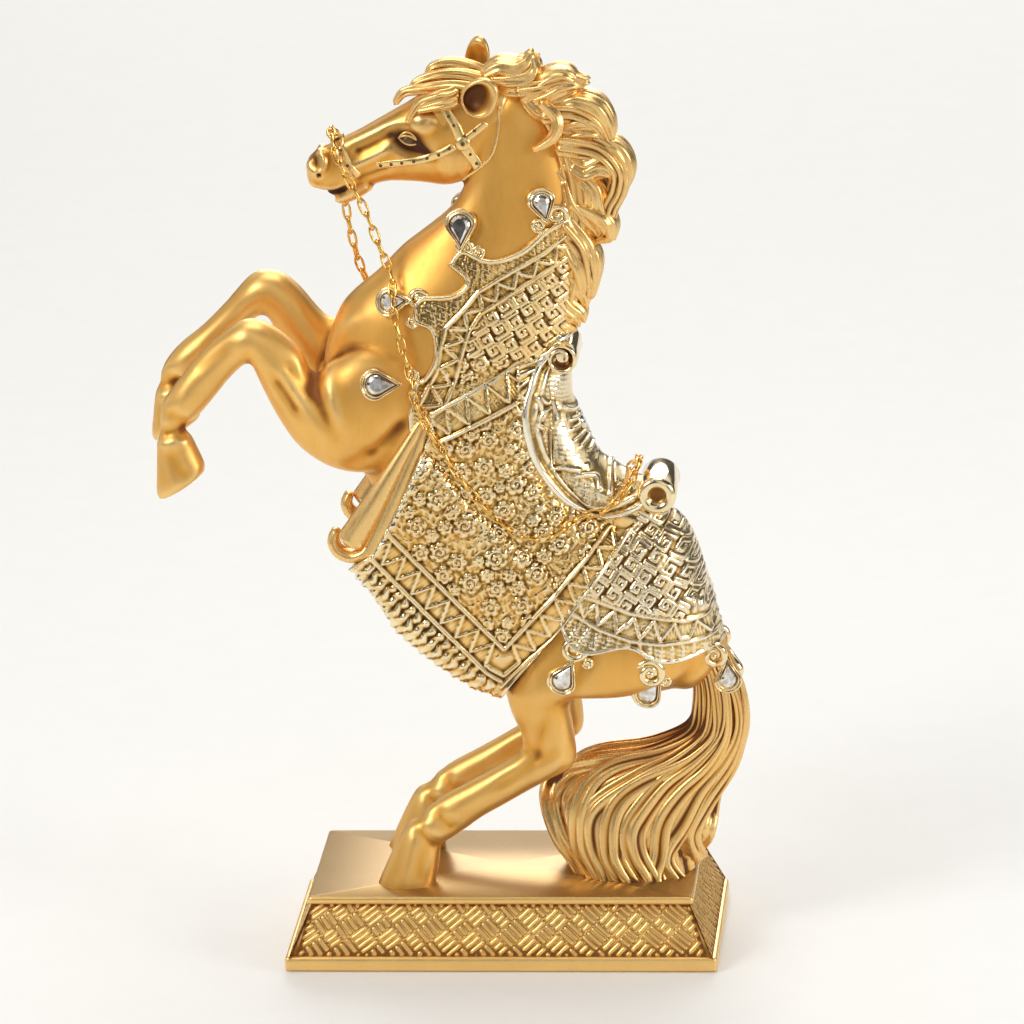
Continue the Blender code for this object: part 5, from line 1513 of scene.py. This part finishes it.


# Finishes: bright and deep colours, the hollow colour of painted shade, the edge colour of painted
# highlight, roughness, metal share and the depth of the fine grain.
GILDING = {
    "satin_gold": ((0.93, 0.51, 0.115), (0.76, 0.37, 0.060), (0.26, 0.080, 0.009), (1.0, 0.72, 0.30), 0.42,
                   0.80, 0.12),
    "burnished_gold": ((0.90, 0.47, 0.095), (0.66, 0.295, 0.042), (0.15, 0.046, 0.006), (1.0, 0.74, 0.34),
                       0.34, 0.85, 0.06),
    "gold_leaf": ((1.0, 0.80, 0.42), (0.84, 0.46, 0.10), (0.055, 0.024, 0.005), (1.0, 0.95, 0.72), 0.13, 0.97,
                  0.10),
    "pale_leaf": ((1.0, 0.90, 0.66), (0.88, 0.58, 0.18), (0.10, 0.042, 0.008), (1.0, 0.97, 0.86), 0.20, 0.94,
                  0.10),
    "bright_roll": ((0.98, 0.76, 0.38), (0.84, 0.48, 0.12), (0.22, 0.085, 0.012), (1.0, 0.90, 0.62), 0.15,
                    0.97, 0.02),
    "plinth_gold": ((0.95, 0.52, 0.105), (0.80, 0.375, 0.055), (0.20, 0.068, 0.008), (1.0, 0.74, 0.32), 0.38,
                    0.82, 0.14),
    "strap_gold": ((0.92, 0.54, 0.14), (0.74, 0.38, 0.07), (0.10, 0.035, 0.006), (1.0, 0.78, 0.38), 0.32,
                   0.93, 0.06),
    # Dark brown for the stud holes and the eyes: painted shade.
    "painted_shade_brown": ((0.05, 0.018, 0.006), (0.03, 0.01, 0.004), (0.012, 0.005, 0.002), (0.2, 0.1, 0.035), 0.35,
                   0.3, 0.03),
}


def gilded(name):
    """Gold over a casting: clouded tone, hollows darkened with painted shade, rubbed edges brightened with a
    painted highlight, fine grain.
    """
    bright, deep, hollow, painted_highlight, rough, metal, grain = GILDING[name]
    f = Finish(name)
    place = f.node("ShaderNodeTexCoord", output="Object")
    recess_shade, edge = f.trait("recess_shade"), f.trait("edge")
    cloud = f.noise(place * (1.0, 1.0, 0.45), 75.0, 4.0)
    brushed = f.noise(place * (1.0, 1.0, 0.16), 900.0, 2.0)
    speck = f.noise(place, 1700.0, 2.0)
    tone = f.mix(deep, bright, cloud * 2.1 - 0.5)
    # Painted shade: hollows darkened toward the deep colour, the deepest toward the hollow colour.
    tone = f.mix(tone, deep, f.clip(recess_shade * 2.4))
    tone = f.mix(tone, hollow, f.clip(recess_shade * 1.6 + cloud * 0.5 - 0.5))
    # Convex edges brightened: rubbed wear with a painted highlight over it.
    tone = f.mix(tone, painted_highlight, edge * 0.62)
    # An extra darkening given per piece: painted shade in the head's eye hollows, nostrils and mouth line,
    # and the plinth's top darkened.
    tone = f.mix(tone, (0.075, 0.022, 0.008), f.trait("darkening"))
    pits = f.clip((speck - 0.67) * 9.0)
    tone = f.mix(tone, hollow, pits * 0.35)
    f.fill(f.shader.inputs["Base Color"], tone)
    f.fill(f.shader.inputs["Metallic"], metal - 0.35 * recess_shade)
    f.fill(f.shader.inputs["Roughness"],
           rough + 0.12 * (brushed - 0.5) + 0.18 * recess_shade - 0.06 * edge + pits * 0.2)
    height = brushed * 0.4 + speck * 0.5 - pits * 0.5
    f.fill(f.shader.inputs["Normal"],
           f.node("ShaderNodeBump", {}, {"Strength": grain, "Distance": 0.0003, "Height": height}))
    return f.material


def chain_brass():
    f = Finish("chain_brass")
    place = f.node("ShaderNodeTexCoord", output="Object")
    wear = f.noise(place, 900.0, 3.0)
    f.fill(f.shader.inputs["Base Color"], f.mix((0.72, 0.36, 0.06), (1.0, 0.70, 0.24), wear * 2.4 - 0.7))
    f.fill(f.shader.inputs["Metallic"], 1.0)
    f.fill(f.shader.inputs["Roughness"], 0.10 + 0.16 * wear)
    return f.material


def cut_stone():
    f = Finish("cut_stone")
    place = f.node("ShaderNodeTexCoord", output="Object")
    tint = f.noise(place, 520.0, 1.0)
    f.fill(f.shader.inputs["Base Color"], f.mix((0.62, 0.55, 0.44), (0.97, 0.97, 0.98), tint * 3.0 - 1.0))
    f.fill(f.shader.inputs["Metallic"], 0.95)
    f.fill(f.shader.inputs["Roughness"], 0.04 + 0.06 * tint)
    return f.material


def pale_paper():
    f = Finish("pale_paper")
    fleck = f.noise(f.node("ShaderNodeTexCoord", output="Object"), 60.0, 2.0)
    f.fill(f.shader.inputs["Base Color"], f.mix((0.74, 0.73, 0.70), (0.77, 0.76, 0.73), fleck))
    f.fill(f.shader.inputs["Roughness"], 0.7)
    f.fill(f.shader.inputs["Emission Color"], (1.0, 0.985, 0.96))
    f.fill(f.shader.inputs["Emission Strength"], 0.10)
    return f.material


def studio():
    bpy.ops.mesh.primitive_plane_add(size=6, location=(0, 0, -0.0002))
    floor = bpy.context.object
    floor.name = "floor"
    floor.data.materials.append(pale_paper())
    world = bpy.data.worlds.new("studio")
    world.use_nodes = True
    nodes, links = world.node_tree.nodes, world.node_tree.links
    sky, cards = nodes["Background"], nodes.new("ShaderNodeTexNoise")
    cards.inputs["Scale"].default_value = 1.9
    cards.inputs["Detail"].default_value = 1.0
    glow = nodes.new("ShaderNodeMapRange")
    glow.interpolation_type = "SMOOTHSTEP"
    for socket, value in zip(glow.inputs[1:5], (0.44, 0.58, 0.06, 0.85)):
        socket.default_value = value
    links.new(nodes.new("ShaderNodeTexCoord").outputs["Generated"], cards.inputs["Vector"])
    links.new(cards.outputs[0], glow.inputs[0])
    links.new(glow.outputs[0], sky.inputs["Strength"])
    sky.inputs["Color"].default_value = (1.0, 0.985, 0.96, 1)
    bpy.context.scene.world = world
    for name, spot, size, power in (
            ("key", (-0.85, -0.75, 1.0), 0.5, 6.9), ("fill", (0.95, -0.35, 0.5), 0.35, 2.6),
            ("top", (0.05, 0.25, 1.25), 0.7, 4.9), ("backdrop", (0.0, 2.2, 1.3), 1.4, 20)):
        light = bpy.data.lights.new(name, "AREA")
        light.size = size
        light.energy = power
        lamp = bpy.data.objects.new(name, light)
        lamp.location = spot
        lamp.rotation_euler = (Vector((0, 0, 0.14)) - Vector(spot)).to_track_quat("-Z", "Y").to_euler()
        bpy.context.collection.objects.link(lamp)
    bpy.context.scene.view_settings.view_transform = "Standard"


def set_camera():
    turn, rise, roll = math.radians(5.02), math.radians(16.5), math.radians(-1.63)
    back = Vector((math.sin(turn) * math.cos(rise), -math.cos(turn) * math.cos(rise), math.sin(rise)))
    right = (-back).cross(Vector((0, 0, 1))).normalized()
    up = right.cross(-back)
    tilted = (math.cos(roll) * right + math.sin(roll) * up, math.cos(roll) * up - math.sin(roll) * right,
              back)
    camera = bpy.data.cameras.new("camera")
    camera.sensor_width = 36
    camera.lens = 7225 / 1024 * 36
    camera.clip_start = 0.05
    holder = bpy.data.objects.new("camera", camera)
    bpy.context.collection.objects.link(holder)
    matrix = Matrix(tilted).transposed().to_4x4()
    matrix.translation = Vector((0.0042, 0, 0.1332)) + back * 2.162
    holder.matrix_world = matrix
    bpy.context.scene.camera = holder


def dress():
    gold, hair, leaf, pale, roll, base, strapping, shade_brown = [gilded(name) for name in GILDING]
    brass, stone = chain_brass(), cut_stone()
    body = make_body()
    piece("horse_body", *body, gold, "casting", ["horse"], crease=0.4, closed=False)
    points, faces, darkening = make_head()
    piece("horse_head", points, faces, hair, "casting", darkening=darkening)
    tree = surface_tree(*joined([(points, faces), body]))
    straps, studs = make_bridle(tree)
    balls, lids = make_eyes(tree)
    piece("bridle", *straps, strapping, "casting")
    # Studs and eyeballs take the dark brown of painted shade.
    piece("bridle_studs", *studs, shade_brown, "casting")
    piece("eyes", *balls, shade_brown, "casting")
    piece("eyelids", *lids, gold, "casting")
    piece("ears", *make_ears(), hair, "casting", crease=0.7)
    piece("mane", *make_mane(), hair, "casting")
    piece("tail", *make_tail(), hair, "casting")
    sides = [cloth_support(NEAR_STEP, -1), cloth_support(FAR_STEP, 1)]
    for name, outline, over, thickness, relief in (
            ("neck_cloth", rounded(NECK_CLOTH), [BLANKET], 1.5, neck_relief),
            ("blanket", BLANKET_FACE, [SKIRT], 1.9, blanket_relief),
            ("crupper", rounded(CRUPPER_COVER), [BLANKET], 1.7, crupper_relief),
            ("saddle_skirt", rounded(SKIRT), [], 2.9, skirt_relief)):
        halves = [cloth_piece(side, outline, over, thickness, relief) for side in sides]
        finish = pale if name in ("saddle_skirt", "crupper") else leaf
        piece(name, *joined(halves), finish, "casting", crease=0.2, spread=8, closed=False)
    piece("saddle_rolls", *make_rolls(), roll, "casting")
    piece("lapels", *make_lapels(), hair, "casting")
    piece("curls", *make_curls(surface_tree(*joined([side[:2] for side in sides]))), roll, "casting")
    stones, settings = make_stones(stone_frames())
    piece("gem_settings", *settings, roll, "casting")
    for name, (points, faces) in stones.items():
        made = piece("stone" + name[3:], points, faces, stone, "stone", [name])
        made.data.polygons.foreach_set("use_smooth", np.zeros(len(made.data.polygons), dtype=bool))
    piece("rein_links", *make_chain(), brass, "chain", ["rein_chain"])
    points, faces = make_plinth()
    # The plinth's top is darkened.
    piece("plinth_casting", points, faces, base, "plinth", ["plinth"],
          darkening=0.55 * (np.asarray(points)[:, 2] > -0.05))


dress()
studio()
set_camera()
